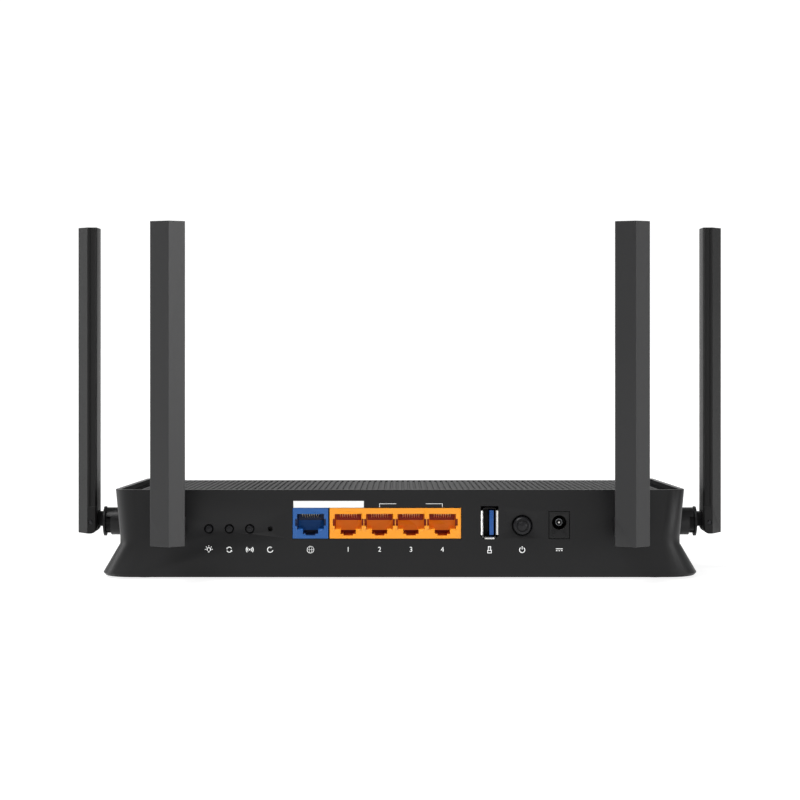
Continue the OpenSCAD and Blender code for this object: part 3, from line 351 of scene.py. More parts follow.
# Runs a tree on a few points and keeps the result as a plain mesh
def growPiece(name, tree, result, sizes, places=()):
    real = addNode(tree, "GeometryNodeRealizeInstances", {}, {"Geometry": result})
    addNode(tree, "NodeGroupOutput", {}, {"Geometry": real.outputs[0]})
    shape = bmesh.new()
    for place in places:
        shape.verts.new(place)
    seed = meshPiece(name + "Seed", shape)
    grower = seed.modifiers.new(name, "NODES")
    grower.node_group = tree
    for item in tree.interface.items_tree:
        if item.in_out == "INPUT" and item.name in sizes:
            grower[item.identifier] = sizes[item.name]
    mesh = bpy.data.meshes.new_from_object(seed.evaluated_get(bpy.context.evaluated_depsgraph_get()))
    bpy.data.objects.remove(seed)
    return addObject(name, mesh)


def joinPieces(name, pieces):
    shape = bmesh.new()
    for piece in pieces:
        shape.from_mesh(piece.data)
        bpy.data.objects.remove(piece)
    return meshPiece(name, shape)


# Ribs: bars that taper upwards, side by side. Like all sizes in these dictionaries, theirs are in millimetres
ribLook = {"count": 87, "pitch": 2.67, "topW": 1.35, "baseW": 1.878, "deep": 0.7, "end": 110.0,
    "sink": 0.02, "edge": 0.12}


def coverRibs():
    length = ribLook["end"] * mm - (low("top_cover").y - rearY)
    deep = (ribLook["deep"] + ribLook["sink"]) * mm
    sizes = {"Rib count": ribLook["count"], "Rib step": (ribLook["pitch"] * mm, 0, 0),
        "First rib": (-ribLook["pitch"] * mm * (ribLook["count"] - 1) / 2, ribLook["end"] * mm - length / 2,
        -deep / 2), "Rib block": (1.0, length, deep), "Half depth": deep / 2,
        "Top width": ribLook["topW"] * mm, "Base width": ribLook["baseW"] * mm}
    tree, given = startTree("coverRibs", sizes)
    block = addNode(tree, "GeometryNodeMeshCube", {}, {"Size": given["Rib block"]})
    position = addNode(tree, "GeometryNodeInputPosition")
    place = addNode(tree, "ShaderNodeSeparateXYZ", {}, {0: position.outputs[0]})
    under = addNode(tree, "ShaderNodeMath", {"operation": "MULTIPLY", 1: -1.0}, {0: given["Half depth"]})
    width = addNode(tree, "ShaderNodeMapRange", {}, {"Value": place.outputs["Z"],
        "From Min": under.outputs[0], "From Max": given["Half depth"], "To Min": given["Base width"],
        "To Max": given["Top width"]})
    side = addNode(tree, "ShaderNodeMath", {"operation": "MULTIPLY"}, {0: place.outputs["X"],
        1: width.outputs[0]})
    tapered = addNode(tree, "ShaderNodeCombineXYZ", {}, {"X": side.outputs[0], "Y": place.outputs["Y"],
        "Z": place.outputs["Z"]})
    bar = addNode(tree, "GeometryNodeSetPosition", {}, {"Geometry": block.outputs["Mesh"],
        "Position": tapered.outputs[0]})
    row = addNode(tree, "GeometryNodeMeshLine", {"mode": "OFFSET"}, {"Count": given["Rib count"],
        "Start Location": given["First rib"], "Offset": given["Rib step"]})
    bars = addNode(tree, "GeometryNodeInstanceOnPoints", {}, {"Points": row.outputs[0],
        "Instance": bar.outputs[0]})
    return growPiece("coverRibs", tree, bars.outputs[0], sizes)


# The plate keeps the cover's own bands, arms and rim; its middle is planed down to carry the ribs
grooveX = ribLook["pitch"] * ribLook["count"] / 2 * mm
floorPoint = onTop @ Vector((0, 0, -(ribLook["deep"] + ribLook["sink"] / 2) * mm))
floorNormal = onTop.to_3x3() @ Vector((0, 0, 1))
sideCut = Vector((grooveX, 0, 0))
leftPlane, rightPlane = (-sideCut, Vector((-1, 0, 0))), (sideCut, Vector((1, 0, 0)))
ribs = coverRibs()
ribs.data.transform(onTop)
plate = meshPiece("coverPlate", cutShape(mergedShape("top_cover"), [leftPlane, rightPlane,
    (floorPoint, floorNormal)]))
topCover = joinPieces("topCover", [plate, ribs])
soften(topCover, ribLook["edge"])
mount(topCover, "top_cover", slot="cover_black")
# Painted shade: the bands take a darker, reflection-less copy of the cover's plastic
coverBands = joinPieces("coverBands", [
    meshPiece("leftBand", cutShape(mergedShape("top_cover"), [(-sideCut, Vector((1, 0, 0)))])),
    meshPiece("rightBand", cutShape(mergedShape("top_cover"), [(sideCut, Vector((-1, 0, 0)))]))])
soften(coverBands, ribLook["edge"])
mount(coverBands, "top_cover", slot="band_black")
print("top cover made")

# Plain pieces: how wide their edges are rounded, then segments and least angle where they differ
edgeLook = {"main_case": (0.08,), "front_fascia": (0.15,), "bottom_cover": (0.06, 1, 14),
    "rubber_feet": (0.3, 3), "dc_jack": (0.2,)}
for name, edge in edgeLook.items():
    softCopy(name, *edge)

# Data socket: a folded sheet tube whose sides and bottom flare out in lips, its mouth painted dark as shade; a
# blue tongue on a block painted dark as shade
usbLook = {"sheet": 0.3, "cornerR": 0.9, "width": 5.9, "height": 13.1, "sideLip": 10.7, "endLip": 4.4,
    "flare": 0.85, "endFlare": 0.7, "mouth": 1.6, "topGap": 0.75, "legW": 1.0, "legFront": 5, "legBack": 2,
    "tongueBack": 8.0, "tongueTo": 1.85, "edge": 0.12,
    "curl": [(0.02, 0.9), (0.15, 0.45), (0.5, 0.16)]}


def tubeOutline(centre, width, height, radius, y, steps=6):
    points = []
    for turn, x, z in ((0, 1, 1), (90, -1, 1), (180, -1, -1), (270, 1, -1)):
        for k in range(steps + 1):
            angle = math.radians(turn + 90 * k / steps)
            points.append(Vector((centre.x + (x * (width / 2 - radius) + radius * math.cos(angle)) * mm, y,
                centre.z + (z * (height / 2 - radius) + radius * math.sin(angle)) * mm)))
    return points


def bridge(shape, one, two):
    for k in range(len(one)):
        shape.faces.new([one[k], one[(k + 1) % len(one)], two[(k + 1) % len(two)], two[k]])


def addBlock(shape, lowest, highest):
    size = highest - lowest
    bmesh.ops.create_cube(shape, size=1,
        matrix=Matrix.Translation((lowest + highest) / 2) @ Matrix.Diagonal(size).to_4x4())


def flaredLip(shape, start, out, along, halfLength, look):
    profile = [(0, look["mouth"] + 0.2)] + look["curl"] + [(look["flare"], 0.05)]
    rows = []
    for reach, back in profile:
        for side, thick in ((0, 0), (1, look["sheet"])):
            inward = thick * (1 - reach / look["flare"])
            rows.append([shape.verts.new(start + out * (reach - inward * 0.6) * mm
                + along * way * halfLength * mm
                + Vector((0, (back + thick * min(1, 0.4 + reach)) * mm, 0))) for way in (-1, 1)])
    front, rear = rows[0::2], rows[1::2]
    loop = front + rear[::-1]
    for k in range(len(loop)):
        a, b = loop[k], loop[(k + 1) % len(loop)]
        shape.faces.new([a[0], b[0], b[1], a[1]])
    for way in (0, 1):
        shape.faces.new([row[way] for row in (loop if way else loop[::-1])])


def usbShell(look):
    lowest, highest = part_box("usb_shell")
    top = highest.z - look["topGap"] * mm
    centre = Vector((middle("usb_shell").x, 0, top - look["height"] / 2 * mm))
    shape = bmesh.new()
    outer = (look["width"], look["height"], look["cornerR"])
    inner = (look["width"] - 2 * look["sheet"], look["height"] - 2 * look["sheet"],
        look["cornerR"] - look["sheet"])
    mouth = lowest.y + look["mouth"] * mm
    stations = [(outer, mouth), (outer, lowest.y + 2 * look["mouth"] * mm), (outer, highest.y),
        (inner, highest.y), (inner, mouth)]
    rings = [[shape.verts.new(point) for point in tubeOutline(centre, *size, y)] for size, y in stations]
    for k in (4, 3, 0, 1, 2):
        bridge(shape, rings[k], rings[(k + 1) % len(rings)])
    for x in (-1, 1):
        start = centre + Vector((x * look["width"] / 2 * mm, lowest.y, 0))
        flaredLip(shape, start, Vector((x, 0, 0)), Vector((0, 0, 1)), look["sideLip"] / 2, look)
        for y in (lowest.y + look["legFront"] * mm, highest.y - look["legBack"] * mm):
            leg = centre + Vector((x * (look["width"] / 2 - look["sheet"] / 2) * mm, y, 0))
            half = Vector((look["sheet"] / 2, look["legW"] / 2, 0)) * mm
            addBlock(shape, Vector((leg.x - half.x, y - half.y, lowest.z)),
                Vector((leg.x + half.x, y + half.y, centre.z)))
    start = centre + Vector((0, lowest.y, -look["height"] / 2 * mm))
    flaredLip(shape, start, Vector((0, 0, -1)), Vector((1, 0, 0)), look["endLip"] / 2,
        {**look, "flare": look["endFlare"]})
    bmesh.ops.recalc_face_normals(shape, faces=shape.faces)
    piece = meshPiece("usbShell", shape)
    shadeSmooth(piece, 40)
    mount(piece, "usb_shell")
    piece.data.materials.append(finishes["socket_black"])
    # The first three bridges, the mouth's rim, the inside and the front of the outside, are painted dark as
    # shade
    for face in piece.data.polygons[:3 * len(rings[0])]:
        face.material_index = 1


usbShell(usbLook)
blockFront = low("usb_tongue").y + usbLook["tongueBack"] * mm
# The block behind the tongue takes the deep black finish as painted shade
for name, way, slot in (("usbTongue", 1, "tongue_blue"), ("usbBlock", -1, "socket_black")):
    cut = [(Vector((0, blockFront, 0)), Vector((0, way, 0)))]
    if way > 0:
        near = middle("usb_shell")
        far = near + Vector((usbLook["tongueTo"] * mm, 0, 0))
        cut += [(near, Vector((-1, 0, 0))), (far, Vector((1, 0, 0)))]
    piece = meshPiece(name, cutShape(mergedShape("usb_tongue"), cut))
    soften(piece, usbLook["edge"])
    mount(piece, "usb_tongue", slot=slot)
print("case and sockets made")

# Spring wires: each hangs from the top of its plug hole and leans back
wireLook = {"count": 8, "pitch": 1.02, "radius": 0.2, "width": 0.45, "tipIn": 2.5, "bend": 0.6,
    "bendDrop": 1.2}


def springWires(node, jackCount):
    lowest, highest = low(node), high(node)
    first = lowest.x + wireLook["width"] / 2 * mm
    span = wireLook["pitch"] * (wireLook["count"] - 1) * mm
    jackStep = (highest.x - lowest.x - wireLook["width"] * mm - span) / max(jackCount - 1, 1)
    radius = wireLook["radius"] * mm
    top = highest.z - radius
    sizes = {"Wire count": wireLook["count"], "Wire step": (wireLook["pitch"] * mm, 0, 0),
        "Jack count": jackCount, "Jack step": (jackStep, 0, 0), "Wire radius": radius,
        "Root": (first, lowest.y + radius, top),
        "Bend": (first, lowest.y + wireLook["bend"] * mm, top - wireLook["bendDrop"] * mm),
        "Tip": (first, highest.y - wireLook["tipIn"] * mm, lowest.z + radius),
        "Tail": (first, highest.y, top)}
    tree, given = startTree(camel(node), sizes)
    spring = addNode(tree, "GeometryNodeCurveQuadraticBezier", {"Resolution": 10}, {"Start": given["Root"],
        "Middle": given["Bend"], "End": given["Tip"]})
    tail = addNode(tree, "GeometryNodeCurvePrimitiveLine", {}, {"Start": given["Root"], "End": given["Tail"]})
    both = addNode(tree, "GeometryNodeJoinGeometry", {}, {0: [spring.outputs[0], tail.outputs[0]]})
    ring = addNode(tree, "GeometryNodeCurvePrimitiveCircle", {"Resolution": 8},
        {"Radius": given["Wire radius"]})
    wire = addNode(tree, "GeometryNodeCurveToMesh", {"Fill Caps": True}, {"Curve": both.outputs[0],
        "Profile Curve": ring.outputs[0]})
    comb = addNode(tree, "GeometryNodeMeshLine", {"mode": "OFFSET"}, {"Count": given["Wire count"],
        "Offset": given["Wire step"]})
    wireSet = addNode(tree, "GeometryNodeInstanceOnPoints", {}, {"Points": comb.outputs[0],
        "Instance": wire.outputs[0]})
    jacks = addNode(tree, "GeometryNodeMeshLine", {"mode": "OFFSET"}, {"Count": given["Jack count"],
        "Offset": given["Jack step"]})
    every = addNode(tree, "GeometryNodeInstanceOnPoints", {}, {"Points": jacks.outputs[0],
        "Instance": wireSet.outputs[0]})
    piece = growPiece(camel(node), tree, every.outputs[0], sizes)
    shadeSmooth(piece, 40)
    mount(piece, node)
    return [Vector((first + span / 2 + k * jackStep, lowest.y, highest.z)) for k in range(jackCount)]


singlePort = springWires("wan_contacts", 1)
rowPorts = springWires("lan_contacts", 4)

# Jacks: bright moulded fronts, plug holes lit with painted glow, and painted shade in the side notches and
# latch recesses
jackLook = {"plugW": 11.7, "latchFrom": 8.2, "skin": 0.3, "edge": 0.12}


def jackBody(node, tone, ports):
    shape = mergedShape(node)
    reach, latchTop = jackLook["plugW"] / 2 * mm, ports[0].z - jackLook["latchFrom"] * mm
    planes = [(Vector((port.x + side * reach, 0, 0)), Vector((1, 0, 0)))
        for port in ports for side in (-1, 1)]
    for point, normal in planes + [(Vector((0, 0, latchTop)), Vector((0, 0, 1)))]:
        bmesh.ops.bisect_plane(shape, geom=shape.verts[:] + shape.edges[:] + shape.faces[:],
            dist=0.0001 * mm, plane_co=point, plane_no=normal)
    jack = meshPiece(camel(node), shape)
    soften(jack, jackLook["edge"])
    mount(jack, node)
    for part in ("_inside", "_comb"):
        jack.data.materials.append(finishes[tone + part])
    lowest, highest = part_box(node)
    for face in jack.data.polygons:
        depth = min(min(face.center[k] - lowest[k], highest[k] - face.center[k]) for k in range(3))
        aside = min(abs(face.center.x - port.x) for port in ports) > reach
        # Painted light and shade: inner faces of the plug holes take the paler glowing finish; faces in the
        # side notches and below the latch take the dark comb finish
        deep = 2 if aside or face.center.z < latchTop else 1
        face.material_index = deep if depth > jackLook["skin"] * mm else 0


jackBody("wan_jack", "blue", singlePort)
jackBody("lan_jacks", "orange", rowPorts)

# A comb behind the wires, which keeps them apart; its dark colour is painted shade
combLook = {"halfW": 5.6, "high": 3.4, "from": 8.2, "thick": 1.0, "edge": 0.15}
for name, ports in (("blue", singlePort), ("orange", rowPorts)):
    shape = bmesh.new()
    for port in ports:
        reach = Vector((combLook["halfW"], 0, 0)) * mm
        front = Vector((port.x, rearY + combLook["from"] * mm, port.z))
        addBlock(shape, front - reach - Vector((0, 0, combLook["high"] * mm)),
            front + reach + Vector((0, combLook["thick"] * mm, 0)))
    comb = meshPiece(name + "Comb", shape)
    soften(comb, combLook["edge"])
    comb.data.materials.append(finishes[name + "_comb"])
    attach(comb, bodyOf["lan_jacks"])
print("contacts made")

# The power button's cap: rounded rim, flat ring, groove and a low dome
powerLook = {"capR": 4.0, "rim": 1.25, "grooveR": 2.3, "grooveW": 0.4, "grooveDeep": 0.95, "dome": 0.7,
    "capBack": 10.7, "flangeR": 4.7, "flangeFrom": 5.2, "flangeTo": 6.2, "shankR": 1.8}


# From the dome's middle out over groove, ring and rim, and back along the side to the shank's end
def capProfile(look, length):
    profile = [(look["grooveR"] * k / 6, look["dome"] * (k / 6) ** 2) for k in range(7)]
    outer = look["grooveR"] + look["grooveW"]
    profile += [(look["grooveR"] + 0.02, look["grooveDeep"]), (outer - 0.02, look["grooveDeep"]),
        (outer, look["dome"] / 2)]
    flat = look["capR"] - look["rim"]
    for k in range(7):
        turn = math.radians(15 * k)
        profile.append((flat + look["rim"] * math.sin(turn),
            look["dome"] / 2 + look["rim"] * (1 - math.cos(turn))))
    profile += [(look["capR"], look["flangeFrom"]), (look["flangeR"], look["flangeFrom"]),
        (look["flangeR"], look["flangeTo"]), (look["capR"], look["flangeTo"]), (look["capR"], look["capBack"]),
        (look["shankR"], look["capBack"]), (look["shankR"], length), (0, length)]
    return profile


centre = middle("power_button")
length = (high("power_button").y - low("power_button").y) / mm
centre.y = low("power_button").y
powerButton = meshPiece("powerButton", turnedShape(capProfile(powerLook, length), centre))
shadeSmooth(powerButton)
mount(powerButton, "power_button")

# Small buttons: a low dome inside a rounded rim
smallLook = {"capR": 1.5, "rim": 0.35, "grooveR": 0.85, "grooveW": 0.12, "grooveDeep": 0.12, "dome": 0.1,
    "flangeR": 2.2}
for name in ["lights_button", "pairing_button", "radio_button"]:
    centre = middle(name)
    centre.y = low(name).y
    length = (high(name).y - low(name).y) / mm
    look = {**smallLook, "flangeFrom": 3.2, "flangeTo": 3.9, "capBack": length - 0.2, "shankR": 1.3}
    button = meshPiece(camel(name), turnedShape(capProfile(look, length), centre))
    shadeSmooth(button)
    mount(button, name)

# The inlet's pin: a domed tip on a stem that stands in a stepped collar
pinLook = {"tip": 0.65, "collarR": 1.6, "collarIn": 1.25, "collarBack": 1.3, "collarDeep": 4.5,
    "collarEdge": 0.1}
centre = middle("dc_pin")
centre.y = low("dc_pin").y
length = (high("dc_pin").y - low("dc_pin").y) / mm
tip = pinLook["tip"]
profile = [(tip * math.sin(math.radians(15 * k)), tip * (1 - math.cos(math.radians(15 * k)))) for k in range(7)]
inletPin = meshPiece("inletPin", turnedShape(profile + [(tip, length), (0, length)], centre))
shadeSmooth(inletPin)
mount(inletPin, "dc_pin")
inside, outside, edge = pinLook["collarIn"], pinLook["collarR"], pinLook["collarEdge"]
face, deep = pinLook["collarBack"], pinLook["collarDeep"]
profile = [(tip, length), (tip, deep), (inside, deep), (inside, face + edge), (inside + edge, face),
    (outside - edge, face), (outside, face + edge), (outside, length), (tip, length)]
inletCollar = meshPiece("inletCollar", turnedShape(profile, centre))
shadeSmooth(inletCollar)
mount(inletCollar, "dc_pin", slot="collar_grey")
print("buttons and pin made")


# Screws: cross-slotted head, turned shank and a spiral thread, the same tree for both kinds
screwLook = {"core": 0.86, "ridge": 0.14, "slotW": 0.55, "slotReach": 1.2, "bareTip": 0.6}
screwKinds = {"case_screws": {"headH": 1.6, "shankR": 1.25, "threadMm": 1.1, "up": True},
    "board_screws": {"headH": 1.5, "shankR": 1.1, "threadMm": 0.9, "up": False}}


def screws(node, kind):
    boxes = solidBoxes(node)
    lowest, highest = boxes[0]
    headR, length = (highest.x - lowest.x) / 2 / mm, (highest.z - lowest.z) / mm
    headH, up = kind["headH"], kind["up"]
    core = kind["shankR"] * screwLook["core"] * mm
    threaded = length - headH - screwLook["bareTip"]
    slotL, slotW = headR * screwLook["slotReach"] * mm, screwLook["slotW"] * mm
    sizes = {"Head radius": headR * mm, "Head height": headH * mm, "Shank radius": core,
        "Shank length": length * mm, "Thread radius": core, "Thread rise": threaded * mm,
        "Thread turns": threaded / kind["threadMm"], "Thread depth": kind["shankR"] * screwLook["ridge"] * mm,
        "Slot": (slotL, slotW, headH * mm), "Slot turned": (slotW, slotL, headH * mm),
        "Head centre": (0, 0, headH / 2 * mm), "Shank centre": (0, 0, length / 2 * mm),
        "Thread start": (0, 0, headH * mm), "Facing": (0 if up else math.pi, 0, 0)}
    tree, given = startTree(camel(node), sizes)
    head = addNode(tree, "GeometryNodeMeshCylinder", {"Vertices": 24}, {"Radius": given["Head radius"],
        "Depth": given["Head height"]})
    headUp = addNode(tree, "GeometryNodeTransform", {}, {"Geometry": head.outputs[0],
        "Translation": given["Head centre"]})
    slot = addNode(tree, "GeometryNodeMeshCube", {}, {"Size": given["Slot"]})
    turned = addNode(tree, "GeometryNodeMeshCube", {}, {"Size": given["Slot turned"]})
    recessed = addNode(tree, "GeometryNodeMeshBoolean", {"operation": "DIFFERENCE"},
        {0: headUp.outputs[0], 1: [slot.outputs[0], turned.outputs[0]]})
    shank = addNode(tree, "GeometryNodeMeshCylinder", {"Vertices": 16}, {"Radius": given["Shank radius"],
        "Depth": given["Shank length"]})
    shankUp = addNode(tree, "GeometryNodeTransform", {}, {"Geometry": shank.outputs[0],
        "Translation": given["Shank centre"]})
    spiral = addNode(tree, "GeometryNodeCurveSpiral", {"Resolution": 14}, {"Rotations": given["Thread turns"],
        "Start Radius": given["Thread radius"], "End Radius": given["Thread radius"],
        "Height": given["Thread rise"]})
    section = addNode(tree, "GeometryNodeCurvePrimitiveCircle", {"Resolution": 4},
        {"Radius": given["Thread depth"]})
    thread = addNode(tree, "GeometryNodeCurveToMesh", {"Fill Caps": True}, {"Curve": spiral.outputs[0],
        "Profile Curve": section.outputs[0]})
    threadUp = addNode(tree, "GeometryNodeTransform", {}, {"Geometry": thread.outputs[0],
        "Translation": given["Thread start"]})
    whole = addNode(tree, "GeometryNodeJoinGeometry", {}, {0: [recessed.outputs[0], shankUp.outputs[0],
        threadUp.outputs[0]]})
    every = addNode(tree, "GeometryNodeInstanceOnPoints", {}, {"Points": given["Geometry"],
        "Instance": whole.outputs[0], "Rotation": given["Facing"]})
    places = [((a.x + b.x) / 2, (a.y + b.y) / 2, a.z if up else b.z) for a, b in boxes]
    piece = growPiece(camel(node), tree, every.outputs[0], sizes, places)
    shadeSmooth(piece)
    mount(piece, node)


for name, kind in screwKinds.items():
    screws(name, kind)
print("screws made")

# Heat sink: a base plate with upright fins
sinkLook = {"base": 1.5, "fin": 1.0, "count": 10, "edge": 0.1}
lowest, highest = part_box("heat_sink")
width = highest.x - lowest.x
finStep = (width - sinkLook["fin"] * mm) / (sinkLook["count"] - 1)
centre = middle("heat_sink")
sizes = {"Fin count": sinkLook["count"], "Fin step": (finStep, 0, 0),
    "Fin": (sinkLook["fin"] * mm, highest.y - lowest.y, highest.z - lowest.z - sinkLook["base"] / 2 * mm),
    "First fin": (lowest.x + sinkLook["fin"] / 2 * mm, centre.y,
        (highest.z + lowest.z + sinkLook["base"] / 2 * mm) / 2),
    "Base": (width, highest.y - lowest.y, sinkLook["base"] * mm),
    "Base centre": (centre.x, centre.y, lowest.z + sinkLook["base"] / 2 * mm)}
tree, given = startTree("heatSink", sizes)
fin = addNode(tree, "GeometryNodeMeshCube", {}, {"Size": given["Fin"]})
row = addNode(tree, "GeometryNodeMeshLine", {"mode": "OFFSET"}, {"Count": given["Fin count"],
    "Start Location": given["First fin"], "Offset": given["Fin step"]})
fins = addNode(tree, "GeometryNodeInstanceOnPoints", {}, {"Points": row.outputs[0], "Instance": fin.outputs[0]})
base = addNode(tree, "GeometryNodeMeshCube", {}, {"Size": given["Base"]})
baseIn = addNode(tree, "GeometryNodeTransform", {}, {"Geometry": base.outputs[0],
    "Translation": given["Base centre"]})
whole = addNode(tree, "GeometryNodeJoinGeometry", {}, {0: [fins.outputs[0], baseIn.outputs[0]]})
heatSink = growPiece("heatSink", tree, whole.outputs[0], sizes)
soften(heatSink, sinkLook["edge"])
mount(heatSink, "heat_sink")
print("heat sink made")

# Printed marks, drawn in millimetres round their own middle
markLook = {"line": 0.3, "height": 13.26, "ink": 0.03, "numeral": 3.1, "grow": 1.25}


def arc(x, z, radius, start, end, steps=16):
    turns = [math.radians(start + (end - start) * k / steps) for k in range(steps + 1)]
    return [(x + radius * math.cos(turn), z + radius * math.sin(turn)) for turn in turns]


class Marks:
    def __init__(self):
        self.shape = bmesh.new()
        self.x = self.z = 0
        self.grow = markLook["grow"]

    def at(self, x, z):
        self.x, self.z = x / mm, z / mm

    def area(self, points):
        corners = [self.shape.verts.new(((self.x + x * self.grow) * mm, rearY - markLook["ink"] * mm,
            (self.z + z * self.grow) * mm)) for x, z in points]
        self.shape.faces.new(corners)

    def line(self, points, closed=False, width=markLook["line"]):
        count = len(points)
        sides = []
        for k in range(count):
            before = points[k - 1] if k or closed else None
            after = points[(k + 1) % count] if k < count - 1 or closed else None
            ways = [Vector(b).to_2d() - Vector(a).to_2d() for a, b in ((before, points[k]), (points[k], after))
                if a and b]
            ways = [way.normalized() for way in ways]
            across = [Vector((-way.y, way.x)) for way in ways]
            normal = sum(across, Vector((0, 0))).normalized()
            reach = width / 2 / max(normal.dot(across[0]), 0.3)
            here = Vector(points[k])
            sides.append((here + normal * reach, here - normal * reach))
        for k in range(count if closed else count - 1):
            left, right = sides[k]
            leftNext, rightNext = sides[(k + 1) % count]
            self.area([right, rightNext, leftNext, left])


marks = Marks()
labelZ = markLook["height"] * mm


def lampMark(at):
    marks.at(middle("lights_button").x, labelZ)
    marks.line(arc(0, 0.1, 0.62, -52, 232, 20))
    marks.area([(-0.3, -0.95), (0.3, -0.95), (0.3, -0.6), (-0.3, -0.6)])
    for turn in (0, 45, 90, 135, 180):
        x, z = math.cos(math.radians(turn)), math.sin(math.radians(turn))
        marks.line([(x * 0.98, 0.1 + z * 0.98), (x * 1.4, 0.1 + z * 1.4)], width=0.24)


lampMark(marks)
# Pairing: two arrows that chase each other
marks.at(middle("pairing_button").x, labelZ)
for turn in (0, 180):
    marks.line(arc(0, 0, 0.9, 25 + turn, 150 + turn))
    tip = math.radians(168 + turn)
    side = math.radians(146 + turn)
    marks.area([(1.3 * math.cos(side), 1.3 * math.sin(side)),
        (0.9 * math.cos(tip + 0.12), 0.9 * math.sin(tip + 0.12)),
        (0.5 * math.cos(side), 0.5 * math.sin(side))])
# Radio: a dot between arcs
marks.at(middle("radio_button").x, labelZ)
marks.area(arc(0, 0, 0.3, 0, 345, 23))
for radius in (0.75, 1.25):
    marks.line(arc(0, 0, radius, -45, 45, 10))
    marks.line(arc(0, 0, radius, 135, 225, 10))
# Reset: an open ring that ends in an arrow head
marks.at(middle("reset_plunger").x, labelZ)
marks.line(arc(0, 0, 0.95, 60, 350, 24))
marks.area([(0.15, 1.2), (0.75, 0.8), (0.12, 0.35)])
# Single port: a globe
marks.at(middle("wan_jack").x, labelZ)
marks.line(arc(0, 0, 1.2, 0, 345, 23), closed=True, width=0.16)
marks.line([(0.42 * x, z) for x, z in arc(0, 0, 1.15, 0, 345, 23)], closed=True, width=0.1)
marks.line([(-1.15, 0), (1.15, 0)], width=0.1)
# Data socket: a plug outline with two contacts
marks.at(middle("usb_shell").x, labelZ)
marks.line([(-0.65, -0.25), (0.65, -0.25), (0.65, -1.15), (-0.65, -1.15)], closed=True, width=0.25)
marks.line([(-0.42, -0.13), (-0.42, 1.1), (0.42, 1.1), (0.42, -0.13)], width=0.25)
for x in (-0.17, 0.17):
    marks.area([(x - 0.09, 0.45), (x + 0.09, 0.45), (x + 0.09, 0.75), (x - 0.09, 0.75)])
# Power: a broken ring with a bar
marks.at(middle("power_button").x, labelZ)
marks.line(arc(0, -0.1, 0.95, 125, 415, 24))
marks.line([(0, 0.1), (0, 1.2)])
# Direct current: a line over dashes
marks.at(middle("dc_jack").x, labelZ)
marks.line([(-1.2, 0.3), (1.2, 0.3)])
for x in (-0.9, 0, 0.9):
    marks.line([(x - 0.28, -0.35), (x + 0.28, -0.35)])
# The bare strip over the faster ports, and the bracket over the others
stripLook = {"gap": 0.2, "high": 3.0, "inset": 0.3, "bracketFrom": 0.4, "bracketUp": 1.95,
    "bracketIn": 7.4, "bracketW": 0.2}
marks.grow = 1
jackTop = high("wan_jack").z
portStep = rowPorts[1].x - rowPorts[0].x
marks.at(0, jackTop)
leftEdge, rightEdge = low("wan_jack").x / mm + stripLook["inset"], (rowPorts[0].x + portStep / 2) / mm
marks.area([(leftEdge, stripLook["gap"]), (rightEdge, stripLook["gap"]),
    (rightEdge, stripLook["gap"] + stripLook["high"]), (leftEdge, stripLook["gap"] + stripLook["high"])])
for port, way in ((rowPorts[1], 1), (rowPorts[3], -1)):
    marks.at(port.x, jackTop)
    marks.line([(0, stripLook["bracketFrom"]), (0, stripLook["bracketUp"]),
        (way * stripLook["bracketIn"], stripLook["bracketUp"])], width=stripLook["bracketW"])
bmesh.ops.recalc_face_normals(marks.shape, faces=marks.shape.faces)
for face in marks.shape.faces:
    if face.normal.y > 0:
        face.normal_flip()

# Numerals under the row of ports
for number, port in enumerate(rowPorts, 1):
    curve = bpy.data.curves.new("numeral", "FONT")
    curve.body = str(number)
    curve.size = markLook["numeral"] * mm
    curve.align_x, curve.align_y = "CENTER", "CENTER"
    letter = bpy.data.objects.new("numeral", curve)
    bpy.context.scene.collection.objects.link(letter)
    bpy.context.view_layer.update()
    mesh = bpy.data.meshes.new_from_object(letter.evaluated_get(bpy.context.evaluated_depsgraph_get()))
    bpy.data.objects.remove(letter)
    place = Vector((port.x, rearY - markLook["ink"] * mm, labelZ))
    mesh.transform(Matrix.Translation(place) @ Matrix.Rotation(math.radians(90), 4, "X"))
    marks.shape.from_mesh(mesh)
portMarks = meshPiece("portMarks", marks.shape)
portMarks.data.materials.append(finishes["ink_white"])
ink = portMarks.modifiers.new("inkLayer", "SOLIDIFY")
ink.thickness = markLook["ink"] * mm
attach(portMarks, bodyOf["main_case"])
print("marks printed")

# Antennas: how wide each piece's edges are rounded
antennaLook = {"collar": 0.06, "knuckle": 0.06, "pin": 0.15, "front_shell": 0.15, "back_shell": 0.15}
for antenna in ["rear_left", "rear_right", "side_left", "side_right"]:
    # The outer pair takes the darker blade copy as painted shade
    shell = "side_blade" if "side" in antenna else None
    finishOf = {"collar": "knuckle_black", "front_shell": shell, "back_shell": shell}
    for part, width in antennaLook.items():
        softCopy(antenna + "_" + part, width, slot=finishOf.get(part))
print("antennas made")

for name, node in nodes.items():
    if not node.hide_render:
        node.data.materials.clear()
        node.data.materials.append(finishes[slotOf[name]])
        shadeSmooth(node)
print("other parts finished")

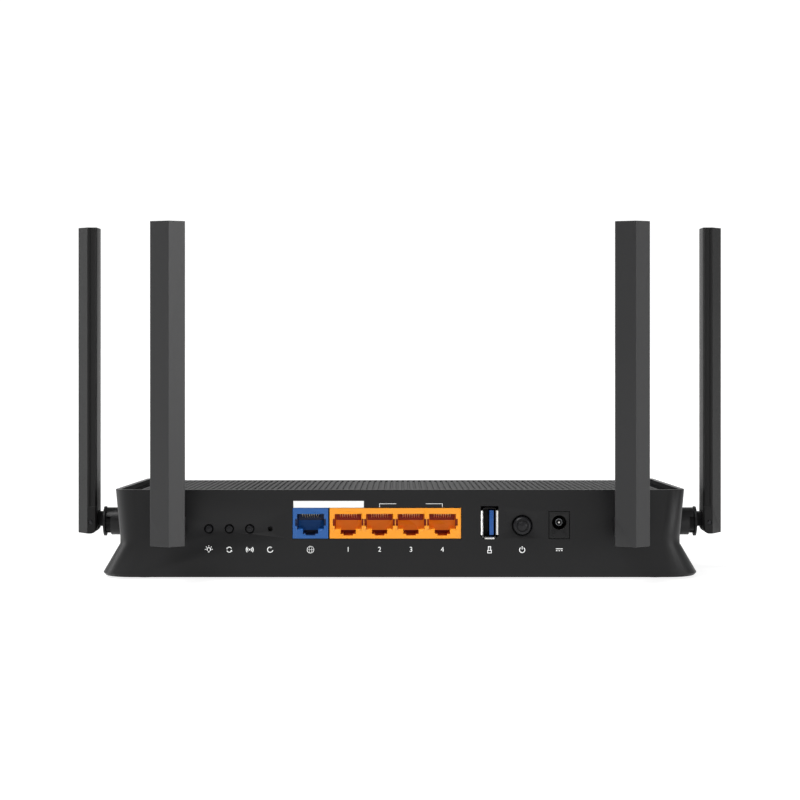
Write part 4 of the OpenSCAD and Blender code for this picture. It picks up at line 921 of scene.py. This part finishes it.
# A pale floor that glows a little, so it meets the backdrop without a line; see-through from below
floorLook = {"half": 12.0, "colour": "#9a9a9a", "glow": 0.86, "grain": 40.0, "rough": (0.85, 0.95),
    "specular": 0.1}
shape = bmesh.new()
bmesh.ops.create_grid(shape, x_segments=8, y_segments=8, size=floorLook["half"])
floor = meshPiece("studioFloor", shape)
material, tree, place = startMaterial("paintedFloor")
grain = addNode(tree, "ShaderNodeTexNoise", {"Scale": floorLook["grain"]}, {"Vector": place})
rough = addNode(tree, "ShaderNodeMapRange", {"To Min": floorLook["rough"][0], "To Max": floorLook["rough"][1]},
    {"Value": grain.outputs["Fac"]})
paint = addNode(tree, "ShaderNodeBsdfPrincipled", {"Base Color": linear(floorLook["colour"]),
    "Specular IOR Level": floorLook["specular"], "Emission Color": (1, 1, 1, 1),
    "Emission Strength": floorLook["glow"]}, {"Roughness": rough.outputs[0]})
clear = addNode(tree, "ShaderNodeBsdfTransparent")
side = addNode(tree, "ShaderNodeNewGeometry")
shown = addNode(tree, "ShaderNodeMixShader", {}, {0: side.outputs["Backfacing"], 1: paint.outputs[0],
    2: clear.outputs[0]})
floor.data.materials.append(endMaterial(material, tree, shown))

# Soft studio light: an even wrap with broad soft boxes, each a direction, its edge and core as
# cosines, and its strength
studioLook = {"even": 0.15, "boxes": {
    "backdrop": ((0, 1, 0.05), 0.80, 0.95, 0.95),
    "right": ((0.85, -0.53, 0.05), 0.93, 0.98, 5.7),
    "left": ((-0.99, 0.16, 0.05), 0.94, 0.985, 4.8),
    "keyAbove": ((0, -0.7, 0.71), 0.80, 0.95, 0.5),
    "glint": ((-0.45, -0.3, 0.84), 0.95, 0.985, 12.0),
    "above": ((0, 0.2, 1), 0.6, 0.95, 0.3)}}
world = bpy.data.worlds.new("studio")
world.use_nodes = True
tree = world.node_tree
tree.nodes.clear()
way = addNode(tree, "ShaderNodeVectorMath", {"operation": "NORMALIZE"},
    {0: addNode(tree, "ShaderNodeTexCoord").outputs["Generated"]})
total = addNode(tree, "ShaderNodeMath", {"operation": "ADD", 0: studioLook["even"], 1: 0.0})
for direction, edge, core, strength in studioLook["boxes"].values():
    facing = addNode(tree, "ShaderNodeVectorMath", {"operation": "DOT_PRODUCT",
        1: Vector(direction).normalized()}, {0: way.outputs[0]})
    glow = addNode(tree, "ShaderNodeMapRange", {"interpolation_type": "SMOOTHSTEP", "From Min": edge,
        "From Max": core, "To Max": strength}, {"Value": facing.outputs["Value"]})
    total = addNode(tree, "ShaderNodeMath", {"operation": "ADD"}, {0: total.outputs[0], 1: glow.outputs[0]})
sky = addNode(tree, "ShaderNodeBackground", {"Color": (1, 1, 1, 1)}, {"Strength": total.outputs[0]})
addNode(tree, "ShaderNodeOutputWorld", {}, {"Surface": sky.outputs[0]})
bpy.context.scene.world = world
bpy.context.scene.view_settings.view_transform = "Standard"
print("studio lit")

# Camera: level, behind the port panel; its picture is shifted, not tilted, so uprights stay upright
cameraLook = {"back": 980, "height": 110.9, "lens": 99.2, "sensor": 36, "shiftUp": -0.0875, "farEnd": 50}
camera = bpy.data.cameras.new("camera")
camera.lens = cameraLook["lens"]
camera.sensor_width = cameraLook["sensor"]
camera.shift_y = cameraLook["shiftUp"]
camera.clip_end = cameraLook["farEnd"]
viewer = bpy.data.objects.new("camera", camera)
viewer.location = (0, rearY - cameraLook["back"] * mm, cameraLook["height"] * mm)
viewer.rotation_euler = (math.radians(90), 0, 0)
bpy.context.scene.collection.objects.link(viewer)
bpy.context.scene.camera = viewer
